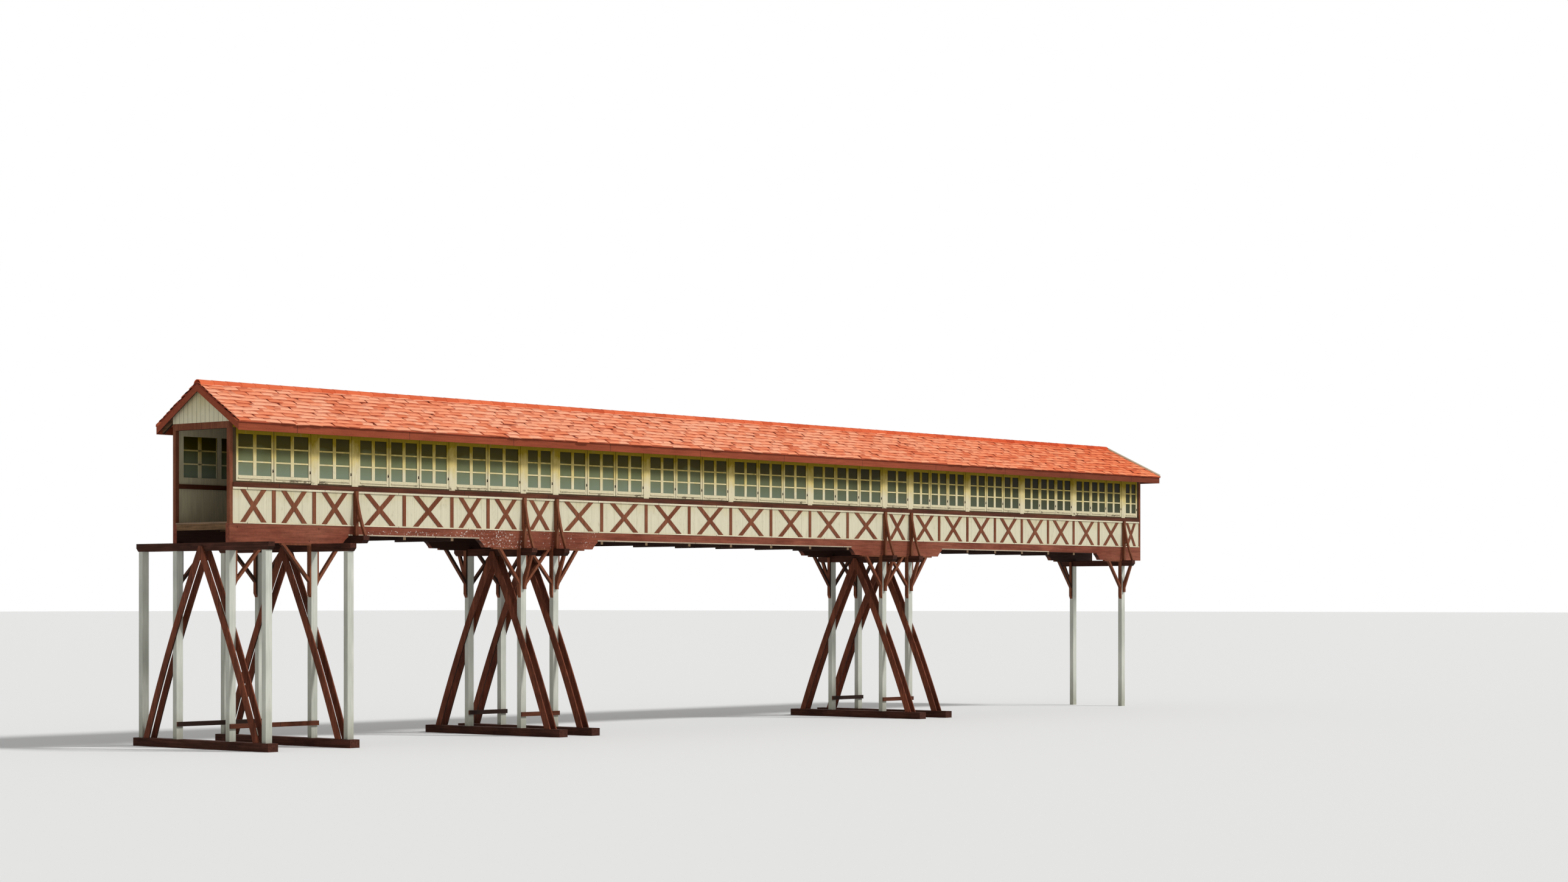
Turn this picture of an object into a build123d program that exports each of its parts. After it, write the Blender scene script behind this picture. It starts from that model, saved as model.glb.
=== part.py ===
"""Covered timber walkway on four trestles, with glazed side walls and a tiled roof.

Sizes are millimetres. X runs along the walkway, Y across it, Z up. The origin lies on the
ground in the middle of the walkway's length and width. The near side is the -Y side.
"""

from build123d import *

import os
from math import cos, hypot, radians, tan

# Spacings along the walkway, from the gabled end to the hipped end
GATE_SPREAD = 2520.0
GATE_OUTRIGGER_STEP = 1310.0
BANK_STATION_STEP = 3270.0
BANK_SPAN = 2560.0
RIVER_SPREAD = 1205.0
RIVER_SPAN = 14150.0
LAWN_SPREAD = 1295.0
LAWN_SPAN = 11800.0
HOUSE_OVERRUN = 1060.0
CORNER_POST = 100.0
LINTEL_DEPTH = 160.0

# Width and levels
WALKWAY_WIDTH = 2090.0
SILL_HEIGHT = 200.0
POST_LENGTH = 4500.0
NEEDLE_DEPTH = 190.0
BOLSTER_DEPTH = 220.0
SIDE_BEAM_DEPTH = 230.0
PANEL_HEIGHT = 860.0
WAIST_RAIL_HEIGHT = 110.0
WINDOW_HEIGHT = 1430.0
PLATE_DEPTH = 155.0

# Trestle timbers
POST_WIDTH = 190.0
POST_DEPTH = 140.0
SILL_WIDTH = 300.0
SILL_REACH = 1450.0
RAKER_THICKNESS = 34.0
RAKER_DEPTH = 190.0
RAKER_FOOT_REACH = 970.0
RAKER_BOW = 90.0
RAKER_LAP = 120.0
OUTER_POST_REACH = 1300.0
TIE_THICKNESS = 45.0
TIE_DEPTH = 112.0
TIE_LEVEL = 505.0
TIE_OVERRUN = 15.0
NEEDLE_REACH = 410.0
LONG_NEEDLE_REACH = 1400.0
NEEDLE_CHAMFER_LENGTH = 75.0
NEEDLE_CHAMFER_RISE = 80.0
BOLSTER_REACH = 1600.0
GATE_BOLSTER_REACH = 1090.0
BOLSTER_NOSE = 35.0
BOLSTER_CURVE = 200.0
DRIP_STRIP_HEIGHT = 30.0
DRIP_STRIP_THICKNESS = 8.0

# Knee brackets and outriggers
KNEE_LEG_THICKNESS = 50.0
KNEE_LONG_DROP = 1190.0
KNEE_BRACE_DROP = 930.0
KNEE_HEAD_REACH = 1000.0
KNEE_BRACE_REACH = 800.0
KNEE_CROSSED_REACH = 930.0
KNEE_LEG_DEPTH = 100.0
KNEE_RECESS = 5.0
KNEE_BRACE_WIDTH = 95.0
KNEE_TOP_THICKNESS = 40.0
KNEE_POINT = 100.0
OUTWARD_WIDTH = 70.0
OUTWARD_DROP = 880.0
OUTWARD_ELBOW = 300.0
OUTWARD_DEPTH = 75.0
OUTRIGGER_LEG_WIDTH = 100.0
OUTRIGGER_LEG_THICKNESS = 75.0
OUTRIGGER_STRUT_DEPTH = 65.0
OUTRIGGER_BOW = 55.0
SPACER_LEVEL = 110.0
SPACER_HEIGHT = 60.0

# Floor
DECK_THICKNESS = 35.0
JOIST_WIDTH = 90.0
JOIST_DEPTH = 150.0
BEARER_WIDTH = 90.0
BEARER_DEPTH = 80.0

# Side walls, as depths behind the outer plane of the posts
FRAMING_THICKNESS = 20.0
PANEL_THICKNESS = 35.0
MOULDING_PROJECTION = 12.0
LOWER_MOULDING_HEIGHT = 30.0
UPPER_MOULDING_HEIGHT = 50.0
BATTEN_WIDTH = 110.0
CROSS_SHARE = 0.64
CROSS_BOARD = 115.0
RAIL_PROJECTION = 20.0
RAIL_THICKNESS = 115.0
WINDOW_WALL_THICKNESS = 45.0
WINDOW_SILL_RAIL = 165.0
WINDOW_HEAD_RAIL = 280.0
SASH_STILE = 70.0
MULLION_WIDTH = 200.0
GLASS_THICKNESS = 6.0

# Roof
ROOF_PITCH = 32.4
EAVE_OVERHANG = 500.0
VERGE_OVERHANG = 120.0
HIP_RIDGE_SETBACK = 600.0
HIP_EAVE_PAST_END = 470.0
ROOF_COURSES = 11
SHEATHING_THICKNESS = 30.0
TILE_BUTT = 34.0
TILE_HEAD = 14.0
RAFTER_WIDTH = 60.0
RAFTER_DEPTH = 140.0
RAFTER_NOTCH = 0.33
FASCIA_THICKNESS = 28.0
FASCIA_HEIGHT = 200.0
TILE_OVERHANG = 25.0
RIDGE_CAP_REACH = 125.0
RIDGE_CAP_RISE = 75.0
RIDGE_CAP_OVERRUN = 60.0
HIP_CAP_RADIUS = 55.0
HIP_CAP_LIFT = 25.0
HIP_CAP_SHARE = 0.985
GABLE_THICKNESS = 40.0
BARGE_THICKNESS = 26.0
BARGE_DEPTH = 160.0
PLATE_THICKNESS = 100.0

# Places along the walkway, counted from the first bent of the river trestle
RIVER_BENT_A = 0.0
RIVER_BENT_B = RIVER_BENT_A + RIVER_SPREAD
LAWN_BENT_A = RIVER_BENT_B + RIVER_SPAN
LAWN_BENT_B = LAWN_BENT_A + LAWN_SPREAD
HOUSE_BENT = LAWN_BENT_B + LAWN_SPAN
HOUSE_END = HOUSE_BENT + HOUSE_OVERRUN
BANK_STATION = RIVER_BENT_A - BANK_SPAN
GATE_OUTRIGGER = BANK_STATION - BANK_STATION_STEP
GATE_BENT_B = GATE_OUTRIGGER - GATE_OUTRIGGER_STEP
GATE_BENT_A = GATE_BENT_B - GATE_SPREAD

# Worked out from the sizes above
LEFT_END = GATE_BENT_A - POST_WIDTH / 2
ROOF_LEFT = LEFT_END - VERGE_OVERHANG
HIP_RIDGE_END = HOUSE_END - HIP_RIDGE_SETBACK
ROOF_RIGHT = HOUSE_END + HIP_EAVE_PAST_END
MIDDLE = (ROOF_LEFT + ROOF_RIGHT) / 2
OUTER = WALKWAY_WIDTH / 2
POST_TOP = SILL_HEIGHT + POST_LENGTH
NEEDLE_TOP = POST_TOP + NEEDLE_DEPTH
BOLSTER_TOP = NEEDLE_TOP + BOLSTER_DEPTH
BEAM_TOP = BOLSTER_TOP + SIDE_BEAM_DEPTH
PANEL_TOP = BEAM_TOP + PANEL_HEIGHT
RAIL_TOP = PANEL_TOP + WAIST_RAIL_HEIGHT
WINDOW_TOP = RAIL_TOP + WINDOW_HEIGHT
PLATE_TOP = WINDOW_TOP + PLATE_DEPTH
PANEL_OUTER = OUTER - FRAMING_THICKNESS
PANEL_INNER = PANEL_OUTER - PANEL_THICKNESS
WINDOW_INNER = PANEL_OUTER - WINDOW_WALL_THICKNESS
PITCH = radians(ROOF_PITCH)
EAVE_OUT = OUTER + EAVE_OVERHANG
RAFTER_DROP = RAFTER_DEPTH / cos(PITCH)
SHEATHING_UNDER_RIDGE = (
    PLATE_TOP + (OUTER - PLATE_THICKNESS / 2) * tan(PITCH) + RAFTER_DROP * (1 - RAFTER_NOTCH)
)
ROOF_DROP = EAVE_OUT * tan(PITCH)
FASCIA_OUT = EAVE_OUT - TILE_OVERHANG
FASCIA_TOP = SHEATHING_UNDER_RIDGE - FASCIA_OUT * tan(PITCH) + SHEATHING_THICKNESS / cos(PITCH)
FASCIA_FOOT = FASCIA_TOP - FASCIA_HEIGHT
HIP_RUN = ROOF_RIGHT - HIP_RIDGE_END

DOUBLE_TRESTLES = [(GATE_BENT_A, GATE_BENT_B), (RIVER_BENT_A, RIVER_BENT_B), (LAWN_BENT_A, LAWN_BENT_B)]
RAKED_BENTS = [bent for pair in DOUBLE_TRESTLES for bent in pair]
BENTS = RAKED_BENTS + [HOUSE_BENT]
OUTER_POST_BENTS = [GATE_BENT_A, GATE_BENT_B]
OUTRIGGER_PLACES = [GATE_OUTRIGGER] + BENTS[2:]

# The ends of the wall's sections
SECTION_ENDS = [
    GATE_BENT_A, GATE_BENT_B, GATE_OUTRIGGER, BANK_STATION, RIVER_BENT_A,
    RIVER_BENT_B, LAWN_BENT_A, LAWN_BENT_B, HOUSE_BENT, HOUSE_END,
]


def block(x0, x1, y0, y1, z0, z1):
    """A squared timber or board between six limits, with x counted from the river trestle."""
    size = Box(abs(x1 - x0), abs(y1 - y0), abs(z1 - z0))
    return Pos((x0 + x1) / 2 - MIDDLE, (y0 + y1) / 2, (z0 + z1) / 2) * size


def profile_along(points, x0, x1):
    """A section drawn across the walkway as (y, z) points, run along it from x0 to x1."""
    face = make_face(Polyline(*points, close=True))
    return extrude(Plane.YZ.offset(x0 - MIDDLE) * face, x1 - x0)


def profile_across(face, y0, y1):
    """A face drawn in the side view as (x, z), run across the walkway from y0 to y1."""
    return Pos(-MIDDLE, 0, 0) * extrude(Plane.XZ.offset(-y1) * face, y1 - y0)


def polygon(*points):
    return make_face(Polyline(*points, close=True))


def bowed_band(start, end, depth, bow):
    """The side view of a curved timber: a band between two arcs, bowed to the left of its run."""
    first, last = Vector(*start), Vector(*end)
    run = (last - first).normalized()
    left = Vector(-run.Y, run.X)
    half = left * (depth / 2)
    crown = (first + last) * 0.5 + left * bow
    return make_face(
        [
            ThreePointArc(first + half, crown + half, last + half),
            Line(last + half, last - half),
            ThreePointArc(last - half, crown - half, first - half),
            Line(first - half, first + half),
        ]
    )


def to_far_side(shape):
    """The same piece on the far wall, mirrored across the walkway's middle."""
    return mirror(shape, about=Plane.XZ)


def wall_sections():
    """Each wall section as its left end, its right end and its counts.

    The counts are of boarded panels, of casements to a window bay and of window bays.
    """
    short, gate, bank, landing, long = (1, 1, 1), (2, 2, 1), (2, 3, 1), (2, 2, 1), (8, 3, 4)
    counts = [gate, short, bank, landing, short, long, short, long, short]
    return list(zip(SECTION_ENDS[:-1], SECTION_ENDS[1:], counts))


def stations():
    """Every upright line of the boarded panels, ends included, each place once."""
    places = []
    for left, right, (panels, _, _) in wall_sections():
        step = (right - left) / panels
        places += [left + step * number for number in range(panels)]
    return places + [HOUSE_END]


def window_bays():
    """The left edge, right edge and casement count of each window bay, edges on mullion lines."""
    bays = []
    for left, right, (_, casements, count) in wall_sections():
        step = (right - left) / count
        bays += [(left + step * number, left + step * (number + 1), casements) for number in range(count)]
    return bays


def bolster_spans():
    """The left and right end of each bolster, with whether each end is free and so curved."""
    gate = (LEFT_END, GATE_BENT_B + GATE_BOLSTER_REACH, False, True)
    river = (RIVER_BENT_A - BOLSTER_REACH, RIVER_BENT_B + BOLSTER_REACH, True, True)
    lawn = (LAWN_BENT_A - BOLSTER_REACH, LAWN_BENT_B + BOLSTER_REACH, True, True)
    house = (HOUSE_BENT - BOLSTER_REACH, HOUSE_END, True, False)
    return [gate, river, lawn, house]


def sheathing_under(distance):
    """Height of the roof boards' underside at a distance from the ridge, across the walkway."""
    return SHEATHING_UNDER_RIDGE - abs(distance) * tan(PITCH)


# Trestles


def sills():
    reach = OUTER + SILL_REACH
    return [
        block(bent - SILL_WIDTH / 2, bent + SILL_WIDTH / 2, -reach, reach, 0, SILL_HEIGHT)
        for bent in RAKED_BENTS
    ]


def post(bent, outer_face, foot):
    """A post whose outer face lies at outer_face, run up to the needle beam."""
    return block(
        bent - POST_WIDTH / 2, bent + POST_WIDTH / 2, -outer_face, -outer_face + POST_DEPTH, foot, POST_TOP
    )


def posts_near():
    raked = [post(bent, OUTER, SILL_HEIGHT) for bent in RAKED_BENTS]
    return raked + [post(HOUSE_BENT, OUTER, 0)]


def outer_posts():
    near = [post(bent, OUTER + OUTER_POST_REACH, SILL_HEIGHT) for bent in OUTER_POST_BENTS]
    return near + [to_far_side(shape) for shape in near]


def rakers_near():
    """Pairs of bowed planks that clasp each post, from the sill to the middle of the needle beam."""
    foot = (-OUTER - RAKER_FOOT_REACH, SILL_HEIGHT)
    head = (0, POST_TOP)
    run = Vector(head[0] - foot[0], head[1] - foot[1]).normalized()
    spare = run * RAKER_DEPTH
    start = (foot[0] - spare.X, foot[1] - spare.Y)
    end = (head[0] + spare.X, head[1] + spare.Y)
    band = bowed_band(start, end, RAKER_DEPTH, RAKER_BOW)
    planks = []
    for bent in RAKED_BENTS:
        for inner in (bent - POST_WIDTH / 2 - RAKER_THICKNESS, bent + POST_WIDTH / 2):
            plank = extrude(Plane.YZ.offset(inner - MIDDLE) * band, RAKER_THICKNESS)
            reach = OUTER + SILL_REACH
            limits = block(
                inner, inner + RAKER_THICKNESS, -reach, 0, SILL_HEIGHT, POST_TOP + RAKER_LAP
            )
            planks.append(plank & limits)
    return planks


def trestle_ties():
    """Low boards that tie each pair of posts, on the -Y face of both the near and the far pair."""
    ties = []
    for left, right in DOUBLE_TRESTLES:
        for face in (-OUTER, OUTER - POST_DEPTH):
            start, end = left - POST_WIDTH / 2, right + POST_WIDTH / 2 + TIE_OVERRUN
            ties.append(block(start, end, face - TIE_THICKNESS, face, TIE_LEVEL, TIE_LEVEL + TIE_DEPTH))
    return ties


def needle(bent, reach, top):
    """A cross beam whose underside is cut back at both ends."""
    half, low = OUTER + reach, top - NEEDLE_DEPTH
    end = [(half, top), (half, low + NEEDLE_CHAMFER_RISE), (half - NEEDLE_CHAMFER_LENGTH, low)]
    outline = end + [(-y, z) for y, z in reversed(end)]
    return profile_along(outline, bent - POST_WIDTH / 2, bent + POST_WIDTH / 2)


def needle_beams():
    """Cross beams on the posts, longer where outer posts stand, and one below the side beams."""
    beams = []
    for bent in BENTS:
        reach = LONG_NEEDLE_REACH if bent in OUTER_POST_BENTS else NEEDLE_REACH
        beams.append(needle(bent, reach, NEEDLE_TOP))
    return beams + [needle(GATE_OUTRIGGER, NEEDLE_REACH, BOLSTER_TOP)]


def bolster_end(x, direction):
    """Points and an arc that turn a bolster's square end into a short nose over a hollow curve."""
    nose = (x, BOLSTER_TOP - BOLSTER_NOSE)
    heel = (x - direction * BOLSTER_CURVE, NEEDLE_TOP)
    hollow = (x - direction * BOLSTER_CURVE * 0.6, NEEDLE_TOP + (BOLSTER_DEPTH - BOLSTER_NOSE) * 0.5)
    return nose, hollow, heel


def bolster(left, right, left_free, right_free):
    edges = [Line((left, BOLSTER_TOP), (right, BOLSTER_TOP))]
    low_right = (right, NEEDLE_TOP)
    low_left = (left, NEEDLE_TOP)
    if right_free:
        nose, hollow, low_right = bolster_end(right, 1)
        edges += [Line((right, BOLSTER_TOP), nose), ThreePointArc(nose, hollow, low_right)]
    else:
        edges.append(Line((right, BOLSTER_TOP), low_right))
    if left_free:
        nose, hollow, low_left = bolster_end(left, -1)
        edges += [ThreePointArc(low_left, hollow, nose), Line(nose, (left, BOLSTER_TOP))]
    else:
        edges.append(Line(low_left, (left, BOLSTER_TOP)))
    edges.append(Line(low_right, low_left))
    return profile_across(make_face(edges), -OUTER, -OUTER + POST_DEPTH)


def bolsters_near():
    return [bolster(*span) for span in bolster_spans()]


# Knee brackets


def knee(face_x, direction, brace_reach, head_reach):
    """A braced bracket: a leg on the post, a thin head under the bolster and a slanted brace."""
    brace_foot = NEEDLE_TOP - KNEE_BRACE_DROP
    foot = NEEDLE_TOP - (KNEE_LONG_DROP if direction < 0 else KNEE_BRACE_DROP)
    leg_x = face_x + direction * KNEE_LEG_THICKNESS
    tip = face_x + direction * brace_reach
    head_tip = face_x + direction * head_reach
    low = NEEDLE_TOP - KNEE_TOP_THICKNESS
    leg = polygon((face_x, NEEDLE_TOP), (leg_x, NEEDLE_TOP), (leg_x, foot), (face_x, foot - KNEE_POINT))
    head = polygon((face_x, NEEDLE_TOP), (head_tip, NEEDLE_TOP), (head_tip, low), (face_x, low))
    thick = direction * KNEE_BRACE_WIDTH
    rise = thick * KNEE_BRACE_DROP / (tip - leg_x)
    brace = polygon(
        (leg_x, brace_foot), (tip, NEEDLE_TOP), (tip - thick, NEEDLE_TOP), (leg_x, brace_foot + rise)
    )
    inner = -OUTER + KNEE_LEG_DEPTH
    slim = profile_across(head + brace, -OUTER + KNEE_RECESS, inner - KNEE_RECESS)
    return profile_across(leg, -OUTER, inner) + slim


def crossed_knees(left, right):
    """The two brackets between a trestle's posts, whose braces are halved where they cross."""
    start, end = left + POST_WIDTH / 2, right - POST_WIDTH / 2
    reach = min(KNEE_CROSSED_REACH, end - start - KNEE_LEG_THICKNESS - KNEE_RECESS)
    first, second = knee(start, 1, reach, reach), knee(end, -1, reach, reach)
    middle, inner = -OUTER + KNEE_LEG_DEPTH / 2, -OUTER + KNEE_LEG_DEPTH
    outer_half = block(left, right, -OUTER, middle, 0, NEEDLE_TOP)
    inner_half = block(left, right, middle, inner, 0, NEEDLE_TOP)
    return [first - (second & inner_half), second - (first & outer_half)]


def knee_brackets_near():
    half = POST_WIDTH / 2
    brackets = []
    for left, right in DOUBLE_TRESTLES:
        brackets += crossed_knees(left, right)
    for left, right in DOUBLE_TRESTLES[1:]:
        brackets.append(knee(left - half, -1, KNEE_BRACE_REACH, KNEE_HEAD_REACH))
        brackets.append(knee(right + half, 1, KNEE_BRACE_REACH, KNEE_HEAD_REACH))
    gate_reach = GATE_BOLSTER_REACH - BOLSTER_CURVE - half
    brackets.append(knee(GATE_BENT_B + half, 1, min(KNEE_BRACE_REACH, gate_reach), gate_reach))
    brackets.append(knee(HOUSE_BENT - half, -1, KNEE_BRACE_REACH, KNEE_HEAD_REACH))
    return brackets


def outward_bracket(bent):
    """An elbowed strut from a post's outer face out to the end of the needle beam."""
    foot = POST_TOP - OUTWARD_DROP
    knee_out = -OUTER - OUTWARD_DEPTH
    tip = -OUTER - NEEDLE_REACH + NEEDLE_CHAMFER_LENGTH
    points = [
        (-OUTER, foot), (knee_out, foot), (knee_out, foot + OUTWARD_ELBOW / 2),
        (tip, POST_TOP), (tip + KNEE_BRACE_WIDTH, POST_TOP), (-OUTER, foot + OUTWARD_ELBOW),
    ]
    return profile_along(points, bent - OUTWARD_WIDTH / 2, bent + OUTWARD_WIDTH / 2)


def outward_brackets():
    near = [outward_bracket(bent) for bent in BENTS if bent not in OUTER_POST_BENTS]
    return near + [to_far_side(shape) for shape in near]


def spacer(place, foot, head):
    """The short block that holds an outrigger's strut off its leg, just above the side beam."""
    low = BEAM_TOP + SPACER_LEVEL
    share = (low - foot[1]) / (head[1] - foot[1])
    strut_middle = foot[0] + (head[0] - foot[0]) * share + OUTRIGGER_BOW * 4 * share * (1 - share)
    half = OUTRIGGER_STRUT_DEPTH / 2
    leg_middle = -OUTER - OUTRIGGER_LEG_THICKNESS / 2
    return block(place - half, place + half, strut_middle, leg_middle, low, low + SPACER_HEIGHT)


def outriggers_near():
    """Upright legs on the wall with a curved strut from the waist rail to the needle beam's end."""
    leg_face = -OUTER - OUTRIGGER_LEG_THICKNESS
    head = (-OUTER - OUTRIGGER_LEG_THICKNESS / 2, PANEL_TOP)
    trim = mouldings_near()
    frames = []
    for place in OUTRIGGER_PLACES:
        seat = BOLSTER_TOP if place == GATE_OUTRIGGER else NEEDLE_TOP
        foot = (-OUTER - NEEDLE_REACH + OUTRIGGER_STRUT_DEPTH / 2, seat)
        left, right = place - OUTRIGGER_LEG_WIDTH / 2, place + OUTRIGGER_LEG_WIDTH / 2
        leg = block(left, right, leg_face, -OUTER, seat, PANEL_TOP)
        spare = Vector(head[0] - foot[0], head[1] - foot[1]).normalized() * OUTRIGGER_STRUT_DEPTH
        band = bowed_band(
            (foot[0] - spare.X, foot[1] - spare.Y), (head[0] + spare.X, head[1] + spare.Y),
            OUTRIGGER_STRUT_DEPTH, -OUTRIGGER_BOW,
        )
        inner_left = place - OUTRIGGER_STRUT_DEPTH / 2
        strut = extrude(Plane.YZ.offset(inner_left - MIDDLE) * band, OUTRIGGER_STRUT_DEPTH)
        limits = block(left, right, -OUTER - NEEDLE_REACH, -OUTER, seat, PANEL_TOP)
        frames.append(leg + (strut & limits) + spacer(place, foot, head) - trim[0] - trim[1])
    return frames


# Floor


def side_beam_near():
    return [block(LEFT_END, HOUSE_END, -OUTER, -OUTER + POST_DEPTH, BOLSTER_TOP, BEAM_TOP)]


def drip_strips():
    """Thin painted strips along the foot of the side beams, between the bolsters."""
    spans = bolster_spans()
    gaps = [(spans[0][1], GATE_OUTRIGGER - POST_WIDTH / 2), (GATE_OUTRIGGER + POST_WIDTH / 2, spans[1][0])]
    gaps += [(spans[1][1], spans[2][0]), (spans[2][1], spans[3][0])]
    outer = -OUTER - DRIP_STRIP_THICKNESS
    near = [
        block(left, right, outer, -OUTER, BOLSTER_TOP, BOLSTER_TOP + DRIP_STRIP_HEIGHT)
        for left, right in gaps
    ]
    return near + [to_far_side(shape) for shape in near]


def bearer_places():
    """The stations between the bolsters, where cross bearers hang below the side beams."""
    spans = bolster_spans()
    free = [(spans[n][1], spans[n + 1][0]) for n in range(len(spans) - 1)]
    half = BEARER_WIDTH / 2
    return [
        place
        for place in stations()
        if place != GATE_OUTRIGGER and any(left + half < place < right - half for left, right in free)
    ]


def floor_bearers():
    return [
        block(
            place - BEARER_WIDTH / 2, place + BEARER_WIDTH / 2,
            -OUTER, OUTER, BOLSTER_TOP - BEARER_DEPTH, BOLSTER_TOP,
        )
        for place in bearer_places()
    ]


def floor_joists():
    inner = OUTER - POST_DEPTH
    places = stations()
    places[0] = LEFT_END + JOIST_WIDTH / 2
    places[-1] = HOUSE_END - JOIST_WIDTH / 2
    half, foot = JOIST_WIDTH / 2, BEAM_TOP - JOIST_DEPTH
    return [block(place - half, place + half, -inner, inner, foot, BEAM_TOP) for place in places]


def floor_deck():
    left, right = LEFT_END + CORNER_POST, HOUSE_END - CORNER_POST
    middle = block(left, right, -PANEL_INNER, PANEL_INNER, BEAM_TOP, BEAM_TOP + DECK_THICKNESS)
    inner = OUTER - CORNER_POST
    ends = block(LEFT_END, HOUSE_END, -inner, inner, BEAM_TOP, BEAM_TOP + DECK_THICKNESS)
    return [middle + ends]


# Side walls


def panel_wall_near():
    left, right = LEFT_END + CORNER_POST, HOUSE_END - CORNER_POST
    return [block(left, right, -PANEL_OUTER, -PANEL_INNER, BEAM_TOP, PANEL_TOP)]


def mouldings_near():
    """The two painted mouldings that close the boarded band at its foot and head."""
    outer = -OUTER - MOULDING_PROJECTION
    left, right = LEFT_END + CORNER_POST, HOUSE_END - CORNER_POST
    lower = block(left, right, outer, -PANEL_OUTER, BEAM_TOP, BEAM_TOP + LOWER_MOULDING_HEIGHT)
    upper = block(left, right, outer, -PANEL_OUTER, PANEL_TOP - UPPER_MOULDING_HEIGHT, PANEL_TOP)
    return [lower, upper]


def cross(middle, width, low, high):
    """Two boards crossed as a flat X between the mouldings, cut level at head and foot."""
    rise = high - low
    slope = hypot(width - CROSS_BOARD, rise) / rise
    board = CROSS_BOARD * slope
    half = width / 2
    left, right = middle - half, middle + half
    rising = polygon((left, low), (left + board, low), (right, high), (right - board, high))
    falling = polygon((left, high), (right - board, low), (right, low), (left + board, high))
    return profile_across(rising + falling, -OUTER, -PANEL_OUTER)


def cross_framing_near():
    """Upright battens at the stations and a crossed pair of boards in each panel."""
    low = BEAM_TOP + LOWER_MOULDING_HEIGHT
    high = PANEL_TOP - UPPER_MOULDING_HEIGHT
    places = stations()
    places[0] = LEFT_END + CORNER_POST
    places[-1] = HOUSE_END - CORNER_POST
    half = BATTEN_WIDTH / 2
    pieces = [block(place - half, place + half, -OUTER, -PANEL_OUTER, low, high) for place in places[1:-1]]
    for left, right in zip(places[:-1], places[1:]):
        pieces.append(cross((left + right) / 2, (right - left) * CROSS_SHARE, low, high))
    return pieces


def waist_rail_near():
    outer = -OUTER - RAIL_PROJECTION
    left, right = LEFT_END + CORNER_POST, HOUSE_END - CORNER_POST
    return [block(left, right, outer, outer + RAIL_THICKNESS, PANEL_TOP, RAIL_TOP)]


def casement_openings():
    """The left and right edge of each casement's glazed opening."""
    openings = []
    for left, right, casements in window_bays():
        bay_left = max(left, LEFT_END + CORNER_POST) + MULLION_WIDTH / 2
        bay_right = min(right, HOUSE_END - CORNER_POST) - MULLION_WIDTH / 2
        step = (bay_right - bay_left) / casements
        for number in range(casements):
            start = bay_left + step * number
            openings.append((start + SASH_STILE, start + step - SASH_STILE))
    return openings


def window_wall_near():
    """The band of casements: one frame with an opening cut through it for each casement."""
    left, right = LEFT_END + CORNER_POST, HOUSE_END - CORNER_POST
    wall = block(left, right, -PANEL_OUTER, -WINDOW_INNER, RAIL_TOP, WINDOW_TOP)
    low, high = RAIL_TOP + WINDOW_SILL_RAIL, WINDOW_TOP - WINDOW_HEAD_RAIL
    deep = -WINDOW_INNER + WINDOW_WALL_THICKNESS
    return [wall - [block(start, end, -OUTER, deep, low, high) for start, end in casement_openings()]]


def mullions_near():
    """Flat posts on the face of the window wall, one at each bay's edge."""
    half = MULLION_WIDTH / 2
    places = [left for left, _, _ in window_bays()][1:]
    return [block(place - half, place + half, -OUTER, -PANEL_OUTER, RAIL_TOP, WINDOW_TOP) for place in places]


def glass_near():
    left, right = LEFT_END + CORNER_POST, HOUSE_END - CORNER_POST
    return [block(left, right, -WINDOW_INNER, -WINDOW_INNER + GLASS_THICKNESS, RAIL_TOP, WINDOW_TOP)]


# Roof


def wall_plates():
    inner = OUTER - PLATE_THICKNESS
    near = block(LEFT_END + GABLE_THICKNESS, HOUSE_END, -OUTER, -inner, WINDOW_TOP, PLATE_TOP)
    end = block(HOUSE_END - PLATE_THICKNESS, HOUSE_END, -inner, inner, WINDOW_TOP, PLATE_TOP)
    return [near, to_far_side(near), end]


def rafter_places():
    """Where the rafter pairs stand: over the stations, up to the hip."""
    places = [place for place in stations() if place < HIP_RIDGE_END - RAFTER_WIDTH]
    places[0] = LEFT_END + GABLE_THICKNESS + RAFTER_WIDTH / 2
    return places + [HIP_RIDGE_END - RAFTER_WIDTH / 2]


def rafter_outline():
    foot = EAVE_OUT - TILE_OVERHANG - FASCIA_THICKNESS
    top = [(-foot, sheathing_under(foot)), (0, SHEATHING_UNDER_RIDGE), (foot, sheathing_under(foot))]
    return top + [(y, z - RAFTER_DROP) for y, z in reversed(top)]


def roof_trusses():
    """Rafter pairs notched over the wall plates, each with a tie between the plates."""
    plates = wall_plates()
    inner = OUTER - PLATE_THICKNESS
    pieces = []
    for place in rafter_places():
        left, right = place - RAFTER_WIDTH / 2, place + RAFTER_WIDTH / 2
        pair = profile_along(rafter_outline(), left, right) - plates[0] - plates[1]
        above_fascia_foot = block(left, right, -EAVE_OUT, EAVE_OUT, FASCIA_FOOT, SHEATHING_UNDER_RIDGE)
        pieces.append((pair & above_fascia_foot) + block(left, right, -inner, inner, WINDOW_TOP, PLATE_TOP))
    return pieces


def slope_height(out, run, above):
    """Height over a slope of a given run, at a distance out from its ridge line."""
    return SHEATHING_UNDER_RIDGE - ROOF_DROP * out / run + above / cos(PITCH)


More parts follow.
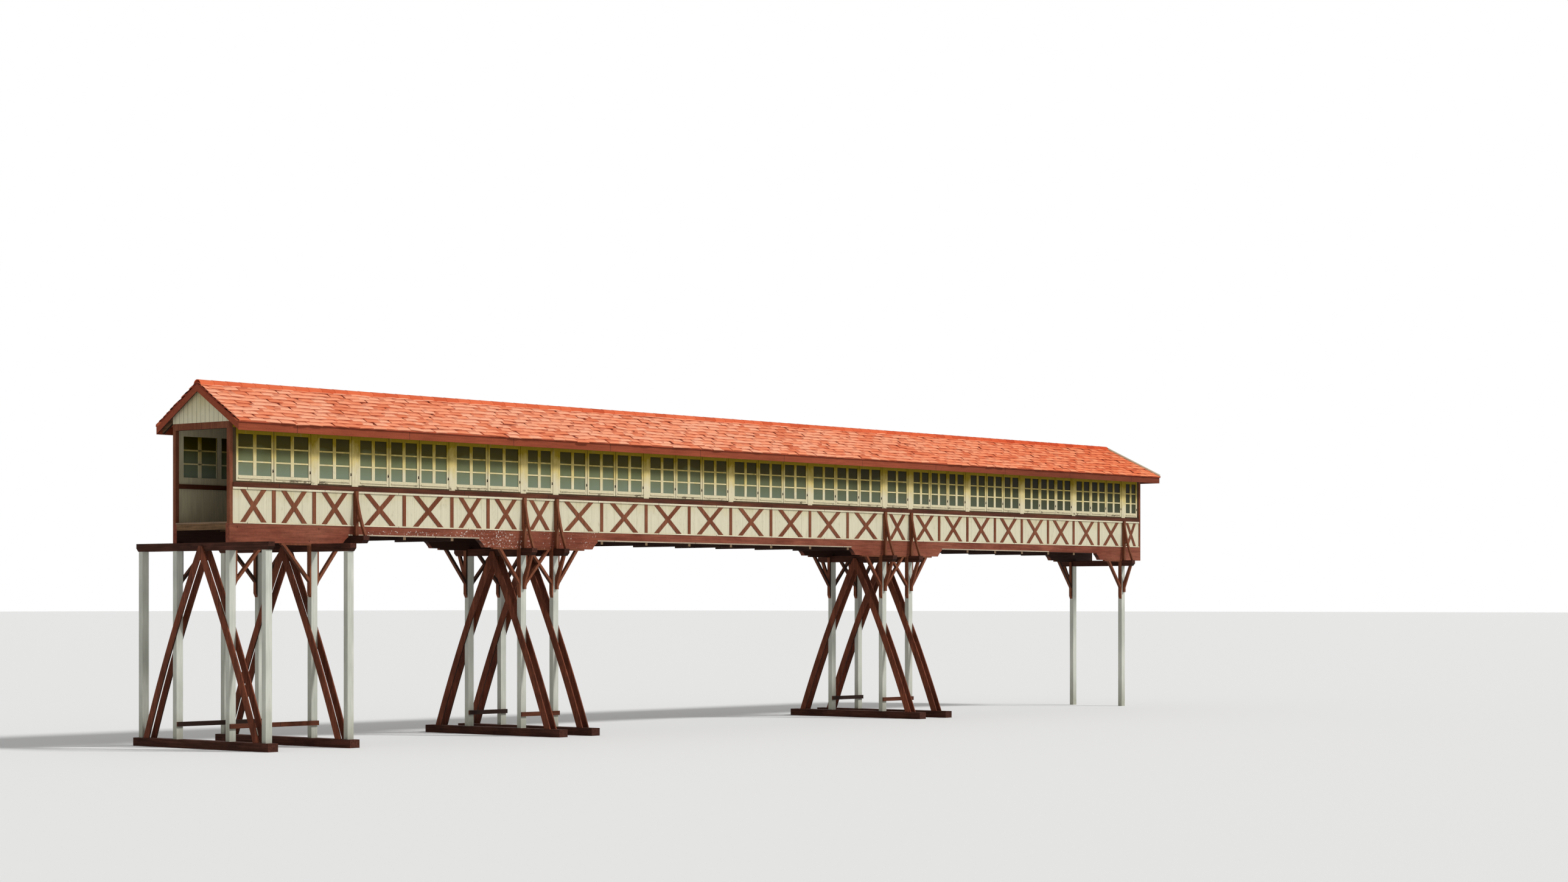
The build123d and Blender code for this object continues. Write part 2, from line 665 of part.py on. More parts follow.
def slope_section(run):
    """A tiled slope's section, as points out from the ridge line and up, with stepped courses."""
    board_end = run - TILE_OVERHANG - FASCIA_THICKNESS
    points = [
        (0, slope_height(0, run, 0)),
        (board_end, slope_height(board_end, run, 0)),
        (board_end, slope_height(board_end, run, SHEATHING_THICKNESS)),
        (run, slope_height(run, run, SHEATHING_THICKNESS)),
    ]
    for number in range(ROOF_COURSES):
        lower = run * (1 - number / ROOF_COURSES)
        upper = run * (1 - (number + 1) / ROOF_COURSES)
        points.append((lower, slope_height(lower, run, SHEATHING_THICKNESS + TILE_BUTT)))
        points.append((upper, slope_height(upper, run, SHEATHING_THICKNESS + TILE_HEAD)))
    return points


def plan_prism(*points):
    """A tall prism over a plan outline, used to cut the roof slopes along the hips."""
    outline = polygon(*[(x - MIDDLE, y) for x, y in points])
    return extrude(Plane.XY.offset(WINDOW_TOP - ROOF_DROP) * outline, ROOF_DROP * 3)


def fascias():
    inner = FASCIA_OUT - FASCIA_THICKNESS
    end_outer = ROOF_RIGHT - TILE_OVERHANG
    near = block(ROOF_LEFT, end_outer, -FASCIA_OUT, -inner, FASCIA_FOOT, FASCIA_TOP)
    end = block(end_outer - FASCIA_THICKNESS, end_outer, -inner, inner, FASCIA_FOOT, FASCIA_TOP)
    return [near, to_far_side(near), end]


def roof_slope_near():
    points = [(-out, height) for out, height in slope_section(EAVE_OUT)]
    slope = profile_along(points, ROOF_LEFT, ROOF_RIGHT)
    plan = plan_prism((ROOF_LEFT, 0), (HIP_RIDGE_END, 0), (ROOF_RIGHT, -EAVE_OUT), (ROOF_LEFT, -EAVE_OUT))
    return [(slope & plan) - fascias()[2]]


def roof_hip_end():
    section = [(HIP_RIDGE_END + out, height) for out, height in slope_section(HIP_RUN)]
    slope = profile_across(polygon(*section), -EAVE_OUT, EAVE_OUT)
    return [slope & plan_prism((HIP_RIDGE_END, 0), (ROOF_RIGHT, -EAVE_OUT), (ROOF_RIGHT, EAVE_OUT))]


def roof_skin():
    near = roof_slope_near()[0]
    return [near, to_far_side(near), roof_hip_end()[0]]


def ridge_cap():
    """A rounded ridge roll, bedded on both slopes and run a little past the hips."""
    foot = slope_height(RIDGE_CAP_REACH, EAVE_OUT, SHEATHING_THICKNESS + TILE_HEAD)
    surface = slope_height(0, EAVE_OUT, SHEATHING_THICKNESS + TILE_HEAD)
    section = make_face(
        [
            ThreePointArc((-RIDGE_CAP_REACH, foot), (0, surface + RIDGE_CAP_RISE), (RIDGE_CAP_REACH, foot)),
            Line((RIDGE_CAP_REACH, foot), (0, surface)),
            Line((0, surface), (-RIDGE_CAP_REACH, foot)),
        ]
    )
    length = HIP_RIDGE_END + RIDGE_CAP_OVERRUN - ROOF_LEFT
    cap = extrude(Plane.YZ.offset(ROOF_LEFT - MIDDLE) * section, length)
    for slope in roof_skin():
        cap = cap - slope
    return [cap]


def hip_caps():
    """Round mortared hips, bedded where the slopes meet the hipped end."""
    surface = slope_height(0, EAVE_OUT, SHEATHING_THICKNESS + TILE_HEAD) + HIP_CAP_LIFT
    start = Vector(HIP_RIDGE_END - MIDDLE, 0, surface)
    end = start + Vector(HIP_RUN, -EAVE_OUT, -ROOF_DROP) * HIP_CAP_SHARE
    run = end - start
    round_bar = extrude(Plane(origin=start, z_dir=run) * Circle(HIP_CAP_RADIUS), run.length)
    side = [(HIP_RIDGE_END, 0), (ROOF_RIGHT, 0), (ROOF_RIGHT, -EAVE_OUT), (HIP_RIDGE_END, -EAVE_OUT)]
    cap = round_bar & plan_prism(*side)
    for shape in roof_skin() + ridge_cap() + fascias():
        cap = cap - shape
    roll = max(cap.solids(), key=lambda solid: solid.volume)
    return [roll, to_far_side(roll)]


def left_gable():
    corner = sheathing_under(OUTER)
    half = [(OUTER, WINDOW_TOP), (OUTER, corner), (0, SHEATHING_UNDER_RIDGE)]
    outline = half + [(-OUTER, corner), (-OUTER, WINDOW_TOP)]
    return [profile_along(outline, LEFT_END, LEFT_END + GABLE_THICKNESS)]


def left_bargeboards():
    foot = FASCIA_OUT - FASCIA_THICKNESS
    board = [
        (0, SHEATHING_UNDER_RIDGE), (-foot, sheathing_under(foot)),
        (-foot, sheathing_under(foot) - BARGE_DEPTH), (0, SHEATHING_UNDER_RIDGE - BARGE_DEPTH),
    ]
    near = profile_along(board, ROOF_LEFT, ROOF_LEFT + BARGE_THICKNESS)
    return [near, to_far_side(near)]


def end_frame(start):
    """Two corner posts and the lintel between them, at one end of the walkway."""
    inner = OUTER - CORNER_POST
    near = block(start, start + CORNER_POST, -OUTER, -inner, BEAM_TOP, WINDOW_TOP)
    lintel = block(start, start + CORNER_POST, -inner, inner, WINDOW_TOP - LINTEL_DEPTH, WINDOW_TOP)
    return [near, to_far_side(near), lintel]


def both_sides(near):
    return near + [to_far_side(shape) for shape in near]


PAIRED = {
    "posts": posts_near,
    "rakers": rakers_near,
    "bolsters": bolsters_near,
    "knee_brackets": knee_brackets_near,
    "outriggers": outriggers_near,
    "side_beam": side_beam_near,
    "panel_wall": panel_wall_near,
    "cross_framing": cross_framing_near,
    "waist_rail": waist_rail_near,
    "window_wall": window_wall_near,
    "mullions": mullions_near,
    "glass": glass_near,
    "roof_slope": roof_slope_near,
}

SINGLE = {
    "sills": sills,
    "outer_posts": outer_posts,
    "trestle_ties": trestle_ties,
    "needle_beams": needle_beams,
    "outward_brackets": outward_brackets,
    "drip_strips": drip_strips,
    "floor_bearers": floor_bearers,
    "floor_joists": floor_joists,
    "floor_deck": floor_deck,
    "mouldings": lambda: both_sides(mouldings_near()),
    "end_frame_left": lambda: end_frame(LEFT_END),
    "end_frame_right": lambda: end_frame(HOUSE_END - CORNER_POST),
    "wall_plates": wall_plates,
    "roof_trusses": roof_trusses,
    "fascias": fascias,
    "roof_hip_end": roof_hip_end,
    "ridge_cap": ridge_cap,
    "hip_caps": hip_caps,
    "left_gable": left_gable,
    "left_bargeboards": left_bargeboards,
}


def save(name, pieces):
    """Write one named piece of the walkway, however many solids it has."""
    solids = [solid for piece in pieces for solid in piece.solids()]
    whole = solids[0] if len(solids) == 1 else Compound(children=solids)
    whole.label = name
    export_step(whole, os.path.join("parts", name + ".step"))


os.makedirs("parts", exist_ok=True)
for name, make in PAIRED.items():
    near = make()
    save(name + "_near", near)
    save(name + "_far", [to_far_side(piece) for piece in near])
for name, make in SINGLE.items():
    save(name, make())
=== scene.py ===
# %% [markdown]
# # A covered timber walkway on raked trestles
# The model to dress is a long foot passage: boarded panels below, casement windows above and a
# clay tiled roof, all carried by pairs of painted posts with raking planks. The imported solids
# give every main shape in metres, and this lesson adds tiles, boards, sashes and paint.

import math

import bmesh
import bpy
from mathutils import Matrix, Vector


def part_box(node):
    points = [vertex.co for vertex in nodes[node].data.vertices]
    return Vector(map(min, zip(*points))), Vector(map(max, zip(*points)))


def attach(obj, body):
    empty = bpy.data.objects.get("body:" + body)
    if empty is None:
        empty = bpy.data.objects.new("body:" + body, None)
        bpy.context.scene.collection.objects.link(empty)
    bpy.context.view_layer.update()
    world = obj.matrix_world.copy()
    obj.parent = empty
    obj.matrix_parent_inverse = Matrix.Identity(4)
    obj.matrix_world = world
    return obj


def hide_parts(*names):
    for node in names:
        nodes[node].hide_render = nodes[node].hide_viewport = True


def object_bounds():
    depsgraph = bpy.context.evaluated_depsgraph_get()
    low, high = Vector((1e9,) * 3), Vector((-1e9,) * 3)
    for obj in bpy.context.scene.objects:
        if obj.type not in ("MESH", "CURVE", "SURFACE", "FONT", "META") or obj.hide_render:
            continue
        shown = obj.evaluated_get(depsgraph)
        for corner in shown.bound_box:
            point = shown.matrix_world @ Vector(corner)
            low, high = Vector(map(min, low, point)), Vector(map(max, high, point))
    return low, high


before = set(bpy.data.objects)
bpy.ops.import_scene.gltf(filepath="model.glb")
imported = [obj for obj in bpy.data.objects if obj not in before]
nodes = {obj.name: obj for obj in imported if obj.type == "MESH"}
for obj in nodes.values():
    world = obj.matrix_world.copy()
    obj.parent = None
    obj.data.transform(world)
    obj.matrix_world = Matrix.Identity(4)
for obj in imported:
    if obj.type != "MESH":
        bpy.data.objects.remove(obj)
cad_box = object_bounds()
print("Solids loaded:", len(nodes))

# %% [markdown]
# ## Colours and nodes
# Paint colours are easiest to judge as the hex values that a screen shows, while Blender mixes
# light in linear values, so one function turns the first into the second. One more adds a node
# of any kind: its settings come by name, and its inputs are filled in order or by name. What it
# returns is a wire. Python's own signs work between wires and numbers, so that a formula over
# node outputs reads as a formula.

# %% A colour and a node


def paint(hex_code):
    """An sRGB hex colour as the linear RGBA that a shader socket takes."""
    channels = [int(hex_code[i : i + 2], 16) / 255 for i in (1, 3, 5)]
    linear = [c / 12.92 if c <= 0.04045 else ((c + 0.055) / 1.055) ** 2.4 for c in channels]
    return (*linear, 1.0)


def fill(socket, value):
    """Links a wire or a list of wires to an input, or sets a number, a text or a hex colour."""
    if isinstance(value, list):
        for wire in value:
            fill(socket, wire)
    elif isinstance(value, Wire):
        value.tree.links.new(value.socket, socket)
    elif isinstance(value, str) and value.startswith("#"):
        socket.default_value = paint(value)
    elif value is not None:
        socket.default_value = value


def add_node(tree, kind, *values, **settings):
    """A new node's first output as a wire. The values fill its open inputs in order, or by name."""
    node = tree.nodes.new(kind)
    for name, value in settings.items():
        setattr(node, name, value)
    if values and isinstance(values[0], dict):
        for name, value in values[0].items():
            fill(node.inputs[name], value)
    else:
        for socket, value in zip([socket for socket in node.inputs if socket.enabled], values):
            fill(socket, value)
    return Wire(node) if node.outputs else node


# %% Wires that can be reckoned with


class Wire:
    """One output of a node. A sign between wires and numbers adds the Math node it stands for."""

    def __init__(self, node, name=None):
        open_outputs = [socket for socket in node.outputs if socket.enabled]
        self.socket = open_outputs[0] if name is None else {s.name: s for s in open_outputs}[name]
        self.tree = node.id_data

    def __getitem__(self, name):
        return Wire(self.socket.node, name)

    def __add__(self, other):
        return add_node(self.tree, "ShaderNodeMath", self, other, operation="ADD")

    def __sub__(self, other):
        return add_node(self.tree, "ShaderNodeMath", self, other, operation="SUBTRACT")

    def __rsub__(self, other):
        return add_node(self.tree, "ShaderNodeMath", other, self, operation="SUBTRACT")

    def __mul__(self, other):
        return add_node(self.tree, "ShaderNodeMath", self, other, operation="MULTIPLY")

    def __truediv__(self, other):
        return add_node(self.tree, "ShaderNodeMath", self, other, operation="DIVIDE")

    def __gt__(self, other):
        return add_node(self.tree, "ShaderNodeMath", self, other, operation="GREATER_THAN")

    def __lt__(self, other):
        return add_node(self.tree, "ShaderNodeMath", self, other, operation="LESS_THAN")


# %% [markdown]
# ## Places, patches and coats
# Every finish below is a few coats over each other, and each coat lies where a place, a facing
# or a soft noise rises between two marks. These helpers are the words for that: where a point
# lies, which way its face looks, noise of a real size, a stretch or lines along a direction, and
# one coat laid over another.

# %% Where a coat lies
NOISE_RANGE = (0.3, 0.7)
ALONG_X = (0.06, 1.0, 1.0)
ALONG_Y = (1.0, 0.06, 1.0)
ALONG_Z = (1.0, 1.0, 0.06)


def place(tree):
    """The object's own coordinates in metres; their parts are place["X"], ["Y"] and ["Z"]."""
    return add_node(tree, "ShaderNodeSeparateXYZ", add_node(tree, "ShaderNodeTexCoord")["Object"])


def facing(tree):
    """The direction that a face looks in, in the same three parts."""
    return add_node(tree, "ShaderNodeSeparateXYZ", add_node(tree, "ShaderNodeNewGeometry")["Normal"])


def soft_noise(tree, millimetres, run=(1, 1, 1), detail=4.0, roughness=0.55):
    """Noise with features about so many millimetres wide, and longer where the run is small."""
    coordinates = add_node(tree, "ShaderNodeTexCoord")["Object"]
    stretched = add_node(tree, "ShaderNodeMapping", {"Vector": coordinates, "Scale": run})
    size = {"Vector": stretched, "Scale": 1000.0 / millimetres}
    return add_node(tree, "ShaderNodeTexNoise", {**size, "Detail": detail, "Roughness": roughness})


def ragged(height, noise, reach):
    """A height that wanders up and down by a reach in metres, so that no coat ends in a line."""
    return height + add_node(height.tree, "ShaderNodeMapRange", noise, *NOISE_RANGE, -reach, reach)


def stretch(value, start, end, fade):
    """One between two marks and nought beyond them, with a soft change at either end."""
    rising = add_node(value.tree, "ShaderNodeMapRange", value, start - fade, start + fade)
    falling = add_node(value.tree, "ShaderNodeMapRange", value, end + fade, end - fade)
    return rising * falling


def lines(value, spacing, width):
    """One on lines of a width, every so many metres along a value, and nought between them."""
    return add_node(value.tree, "ShaderNodeMath", value / spacing, operation="FRACT") < width / spacing


# %% One coat over another


def layer(under, over, value, low=0.0, high=1.0, share=1.0, blend="MIX"):
    """A coat over a colour that thickens to its share as a value rises between two marks."""
    cover = add_node(value.tree, "ShaderNodeMapRange", value, low, high, 0.0, share)
    return add_node(value.tree, "ShaderNodeMix", cover, under, over, data_type="RGBA", blend_type=blend)


def shade(colour, value, low, high, first, last):
    """A colour times a level that goes from first to last as a value rises between two marks."""
    level = add_node(value.tree, "ShaderNodeMapRange", value, low, high, first, last)
    return add_node(value.tree, "ShaderNodeMix", 1.0, colour, level, data_type="RGBA", blend_type="MULTIPLY")


def tones(value, stops):
    """Colours that follow each other along a value, from pairs of a mark and a hex colour."""
    (mark, colour), *others = stops
    for next_mark, hex_code in others:
        colour = layer(colour, hex_code, value, mark, next_mark)
        mark = next_mark
    return colour


def blank_finish(name):
    """A material with only its shader and output, and the node tree to build in."""
    material = bpy.data.materials.new(name)
    material.use_nodes = True
    return material, material.node_tree


def finish(material, colour, roughness, specular, relief, strength, depth):
    """Ends a recipe: colour, gloss, and a bump as deep as real relief, in metres."""
    tree = material.node_tree
    bump = add_node(tree, "ShaderNodeBump", {"Height": relief, "Strength": strength, "Distance": depth})
    inputs = tree.nodes["Principled BSDF"].inputs
    fill(inputs["Base Color"], colour)
    fill(inputs["Roughness"], roughness)
    fill(inputs["Specular IOR Level"], specular)
    fill(inputs["Normal"], bump)
    print("Finish:", material.name, "nodes:", len(tree.nodes))
    return material


# %% [markdown]
# ## Painted timber
# Most of the walkway is softwood under old oil paint. The eye reads it by its grain, which
# runs along each timber, by broad patches where the paint has faded, and by spots where old
# undercoat shows. Stretching one noise along the timber's run gives the grain; a second, wider
# noise fades the coat; a third, cut sharply, makes the spots. The worst peeling is on the
# beams over the middle trestle, so the spots thicken along set stretches there. A scanned wood
# image would repeat along forty metres, and noise doesn't.

# %% Wear on timber
# Each peeled stretch has a start, an end and a fade in metres along the walkway.
PEELED_WORST = (-12.3, -9.9, 0.25)
PEELED_LESS = (-9.9, -7.2, 0.3)
PEELED_LOW_EDGE = (-15.9, -12.2, 0.5)
PEELING_STARTS = 0.74
DULL_PART = (5.0, 14.0)
UNDER_FLOOR_SHADE_SHARE = 0.92
JOINT_WIDTH = 0.012
beam_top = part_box("side_beam_near")[1].z


def painted_shade_under_floor(colour):
    """Painted shade: darkens faces that look down, and faces that look inwards under the floor."""
    tree = colour.tree
    point, side = place(tree), facing(tree)
    down = add_node(tree, "ShaderNodeMapRange", side["Z"], -0.5, -0.8)
    inwards = add_node(tree, "ShaderNodeMapRange", side["Y"] * point["Y"], -0.35, -0.7)
    under_floor = add_node(tree, "ShaderNodeMapRange", point["Z"], beam_top + 0.04, beam_top)
    under_floor_shade = add_node(tree, "ShaderNodeMath", down, inwards * under_floor, operation="MAXIMUM")
    return layer(colour, "#21150F", under_floor_shade, share=UNDER_FLOOR_SHADE_SHARE)


def peeled_spots(colour, undercoat):
    """Spots a few centimetres wide on outer faces, thick over the middle trestle."""
    tree = colour.tree
    point = place(tree)
    low_half = add_node(tree, "ShaderNodeMapRange", point["Z"], beam_top - 0.04, beam_top - 0.1)
    extra = stretch(point["X"], *PEELED_WORST) * 0.146
    extra += stretch(point["X"], *PEELED_LESS) * 0.098
    extra += stretch(point["X"], *PEELED_LOW_EDGE) * low_half * 0.15
    bunches = soft_noise(tree, 480, detail=2)
    extra += add_node(tree, "ShaderNodeMapRange", bunches, 0.35, 0.68, -0.03, 0.03)
    spots = soft_noise(tree, 50, (0.85, 1, 1), detail=5) + extra
    outer_face = facing(tree)["Y"] * point["Y"] > 0.3
    return layer(colour, undercoat, spots * outer_face, PEELING_STARTS, PEELING_STARTS + 0.03, 0.85)


# %% Painted timber


def painted_timber(
    name, coat, faded, run, grain=0.35, roughness=0.68,
    undercoat=None, joints=None, dull_tint=None, pale_until=None, end_paint=None, inner_coat=None,
):
    """Old paint on sawn softwood. run is the stretch of the grain on each axis."""
    material, tree = blank_finish(name)
    grain_lines = soft_noise(tree, 45, run, detail=6, roughness=0.65)
    patches = soft_noise(tree, 900, (0.5, 1, 1), detail=4, roughness=0.6)
    smudges = soft_noise(tree, 38, detail=5, roughness=0.7)
    streaks = (grain_lines, 0.35, 0.7, 1.0 - grain, 1.0 + grain * 0.35)
    colour = shade(layer(coat, faded, patches, 0.36, 0.64), *streaks)
    colour = shade(colour, smudges, *NOISE_RANGE, 0.86, 1.1)
    point, side = place(tree), facing(tree)
    if dull_tint:
        colour = layer(colour, dull_tint, point["X"], *DULL_PART, blend="MULTIPLY")
    if undercoat:
        colour = peeled_spots(colour, undercoat)
    if joints:
        colour = layer(colour, "#25120C", lines(point["X"], joints, JOINT_WIDTH))
    if pale_until:
        colour = layer(colour, "#6A3626", point["X"] > pale_until)
    # Painted shade on faces that look down or inwards under the floor.
    colour = painted_shade_under_floor(colour)
    if end_paint:
        to_a_side = add_node(tree, "ShaderNodeMath", side["Y"], operation="ABSOLUTE")
        colour = layer(colour, end_paint, to_a_side > 0.9)
    if inner_coat:
        inner_face = side["Y"] * point["Y"] < -0.5
        colour = layer(colour, shade(inner_coat, *streaks), inner_face)
    dullness = (*NOISE_RANGE, roughness + 0.12, roughness - 0.08)
    rough = add_node(tree, "ShaderNodeMapRange", grain_lines, *dullness)
    return finish(material, colour, rough, 0.12, grain_lines, 0.35, 0.004)


# %% The timber finishes
red_brown_beam_paint = painted_timber(
    "red_brown_oil_paint_on_beams", "#783B29", "#955742", ALONG_X, undercoat="#CDBDB2"
)
fascia_paint = painted_timber(
    "red_brown_oil_paint_on_fascias", "#8D4229", "#994A30", ALONG_X, 0.2, joints=3.63, dull_tint="#D2D2CE"
)
red_brown_upright_paint = painted_timber("red_brown_oil_paint_on_uprights", "#764029", "#875239", ALONG_Z)
maroon_plank_paint = painted_timber("maroon_oil_paint_on_rakers", "#673623", "#8A4B33", ALONG_Z, 0.5)
waist_rail_paint = painted_timber(
    "dark_brown_oil_paint_on_rail", "#50291A", "#673925", ALONG_X, 0.4, joints=3.05
)
dark_weathered_timber = painted_timber(
    "dark_weathered_softwood", "#40241B", "#573226", ALONG_Y, 0.5, 0.8
)
bearer_timber = painted_timber(
    "dark_softwood_with_painted_ends", "#35211A", "#463027", ALONG_Y, 0.5, 0.8, end_paint="#7A654E"
)
bare_sawn_timber = painted_timber("bare_sawn_softwood", "#6F543A", "#86684A", ALONG_Y, 0.5, 0.85)
white_moulding_paint = painted_timber(
    "white_oil_paint_on_mouldings", "#EAE0C4", "#D2C6A6", ALONG_X, 0.15, joints=2.41
)
drip_strip_paint = painted_timber(
    "white_oil_paint_on_drip_strips", "#CBBAA2", "#AE9A84", ALONG_X, 0.2, joints=3.3, pale_until=14.0
)
# Painted shade: a dark coat for the wall solids, seen only in the gaps between boards and sashes; their inner
# faces stay cream.
shadowed_joints = painted_timber(
    "painted_shade_between_boards", "#4A3B28", "#5A4930", ALONG_Z, 0.2, inner_coat="#C9C0A0"
)
black_iron = painted_timber("black_wrought_iron_fittings", "#2A241E", "#3B2A20", (1, 1, 1), 0.2, 0.5)

# %% [markdown]
# ## White posts
# The posts are the same timber under white distemper. Rain splashes soil on their feet, and a
# thin grey-green film creeps up from it. Every foot could be painted by hand, but a rule on the
# height above the ground does all posts at once, with a ragged edge.

# %% White posts


def white_posts():
    material, tree = blank_finish("white_distempered_posts")
    grain_lines = soft_noise(tree, 40, ALONG_Z, detail=6, roughness=0.6)
    patches = soft_noise(tree, 420, (1, 1, 0.35))
    colour = layer("#D0D1C5", "#BABCB0", patches, 0.4, 0.7)
    colour = layer(colour, "#8E8C78", ragged(place(tree)["Z"], patches, 0.5), 0.95, 0.15, 0.55)
    colour = shade(colour, grain_lines, 0.35, 0.7, 0.88, 1.03)
    return finish(material, colour, 0.72, 0.15, grain_lines, 0.3, 0.004)


white_post_paint = white_posts()

# %% [markdown]
# ## Cream joinery and boards
# Window frames and wall boards share a cream oil paint. Under the eaves it stays damp and a
# yellow-green moss film grows from the top down. In the middle the paint is clean but dusty,
# and along the sill, where rain stands, dark patches of rot show through.

# %% Cream paint


def cream_paint(name, clean, yellowed, mossy, moss_low, moss_high, run=ALONG_Z, board=None, sill=None):
    """Cream oil paint that yellows and turns mossy between two heights."""
    material, tree = blank_finish(name)
    point = place(tree)
    grain_lines = soft_noise(tree, 35, run, detail=5)
    patches = soft_noise(tree, 260, (1, 1, 0.5), detail=5, roughness=0.65)
    dust = soft_noise(tree, 120, (1, 1, 0.4), detail=6, roughness=0.7)
    moss = [(moss_low, clean), ((moss_low + moss_high) / 2, yellowed), (moss_high, mossy)]
    colour = tones(ragged(point["Z"], patches, 0.16), moss)
    colour = layer(colour, "#9A8B68", dust, 0.58, 0.75, 0.45)
    colour = shade(colour, grain_lines, 0.35, 0.7, 0.92, 1.03)
    if sill:
        rot = soft_noise(tree, 200, (0.8, 1, 1.2), detail=5, roughness=0.6)
        rotten = add_node(tree, "ShaderNodeMapRange", rot, 0.56, 0.63)
        at_sill = stretch(point["Z"], sill - 0.08, sill + 0.01, 0.02)
        colour = layer(colour, "#4E3C28", at_sill * rotten, share=0.8)
    if board:
        colour = layer(colour, "#4A3B28", lines(point["Y"], board, 0.008))
    return finish(material, colour, 0.66, 0.15, grain_lines, 0.2, 0.003)


cream_joinery_paint = cream_paint(
    "cream_oil_paint_on_joinery", "#D9CFAD", "#D0BC76", "#8E7808", 6.6, 7.38, sill=6.4
)
# On the boards this coat only darkens and yellows their tops a little.
cream_board_paint = cream_paint("cream_oil_paint_on_boards", "#D6CFB4", "#CFC6A4", "#B3A478", 5.85, 6.4)
cream_gable_paint = cream_paint(
    "cream_oil_paint_on_gable", "#D8D1B2", "#CDC198", "#A8935F", 7.9, 8.7, board=0.16
)
lime_mortar = cream_paint("lime_mortar_hip", "#D2C6AF", "#C3B499", "#B8A78C", 7.2, 8.8, (1, 1, 1))

# %% [markdown]
# ## Old window glass
# The panes are old drawn glass with a film of dust, seen against a dim passage. They look
# grey-green below and almost black under the eaves, where nothing bright is mirrored, and a
# slight ripple breaks the reflections. Clear glass would need a furnished room behind it, so a
# dull pane whose colour follows the height gives the look with less: its colour is painted
# reflection and painted eave shade, grey-green low and dark olive high.

# %% Window glass
# Painted reflection and eave shade on the glass: grey-green low, dark olive under the eaves.
GLASS_PAINTED_REFLECTIONS = [(6.5, "#76816C"), (6.85, "#6A7052"), (7.1, "#5A5C38"), (7.2, "#443D0B"), (7.5, "#322B03")]


def old_glass():
    material, tree = blank_finish("old_drawn_window_glass")
    point = place(tree)
    colour = tones(ragged(point["Z"], soft_noise(tree, 800, detail=3), 0.08), GLASS_PAINTED_REFLECTIONS)
    colour = layer(colour, "#75705A", point["X"], -7.0, 14.0, 0.85, "MULTIPLY")
    return finish(material, colour, 0.3, 0.06, soft_noise(tree, 180, detail=2), 0.15, 0.003)


window_glass = old_glass()

# %% [markdown]
# ## Fired clay
# The roof tiles are unglazed fired clay, dull and slightly chalky. Kiln heat differs from tile
# to tile, so each tile carries its own tone, which the geometry below stores as an attribute.
# Faces turned away from the sky, the butt edges among them, are darker by painted shade, and
# so is each tile further up, where the next course lies over it. Towards the hip end the clay
# is made redder and darker, and soot and lichen settle everywhere as darker and paler specks.

# %% Clay tiles


def fired_clay(name, light, deep, burnt, own_tone=True, painted_tile_shade=0.0, butt=None):
    """Clay in three tones. butt is the colour of a slope's own edge, just above the eaves."""
    material, tree = blank_finish(name)
    point = place(tree)
    speckle = soft_noise(tree, 55, detail=6, roughness=0.7)
    tone = soft_noise(tree, 1300)
    if own_tone:
        tone = add_node(tree, "ShaderNodeAttribute", attribute_name="tile_tone")["Fac"] * 0.75 + tone * 0.35
    colour = tones(tone, [(0.12, burnt), (0.38, deep), (0.8, light)])
    # Redder and darker towards the hip end.
    colour = layer(colour, "#F9CAA4", point["X"], -2.0, 18.0, 0.75, "MULTIPLY")
    if own_tone:
        up_tile = add_node(tree, "ShaderNodeAttribute", attribute_name="tile_height")["Fac"]
        # Painted shade: darker up each tile, where the next course lies over it.
        colour = layer(colour, "#A33E25", ragged(up_tile, speckle, 0.03), 0.06, 0.17, painted_tile_shade)
    colour = layer(colour, "#DA8460", speckle, 0.56, 0.72, 0.3)
    colour = layer(colour, "#9A4428", speckle, 0.34, 0.26, 0.4)
    # Painted shade on faces turned away from the sky, the butt edges among them.
    colour = layer(colour, "#9C3B22", facing(tree)["Z"], 0.45, 0.1, painted_tile_shade)
    if butt:
        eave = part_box("roof_slope_near")[0].z
        colour = layer(colour, butt, stretch(point["Z"], eave + 0.02, eave + 0.11, 0.004))
    return finish(material, colour, 0.85, 0.12, speckle, 0.35, 0.004)


clay_tile = fired_clay("fired_clay_roof_tile", "#FFB38E", "#FB9D74", "#E07850", painted_tile_shade=0.55)
clay_ridge = fired_clay("fired_clay_ridge_tile", "#DE6E46", "#D2603A", "#BC4E2C")
# Painted shade: a dark sheet under the tiles, seen only in the gaps between them; just above the eaves its
# edge takes a tile butt colour.
shade_sheet_under_tiles = fired_clay(
    "painted_shade_under_tiles", "#8A3C28", "#7A3020", "#5E2418", own_tone=False, butt="#B95C3E"
)

# %% [markdown]
# ## Floor boards
# The deck is worn softwood laid across the beams. Dark lines a board's width apart stand for
# the gaps between boards, because the floor only shows through the two doorways.

# %% Floor boards
FLOOR_BOARD = 0.145


def worn_floor():
    material, tree = blank_finish("worn_softwood_floor_boards")
    grain_lines = soft_noise(tree, 40, ALONG_Y, detail=6)
    gap = lines(place(tree)["X"], FLOOR_BOARD, FLOOR_BOARD * 0.04)
    colour = layer("#5F4A36", "#86694C", grain_lines, 0.3, 0.7)
    # Dark gaps between the boards, then painted shade on the floor's underside.
    colour = painted_shade_under_floor(layer(colour, "#1E1712", gap))
    return finish(material, colour, 0.7, None, 1.0 - gap, 0.6, 0.006)


floor_board_wood = worn_floor()

# %% [markdown]
# ## Paint on the solids
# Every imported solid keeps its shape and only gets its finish. Most pieces come as a near and a
# far one, so a short list of words names both. A piece that a later step replaces still gets
# its paint here.

# %% Finishes on the solids


def both(*words):
    """The names of the near and the far piece of each kind."""
    return [word + side for word in words for side in ("_near", "_far")]


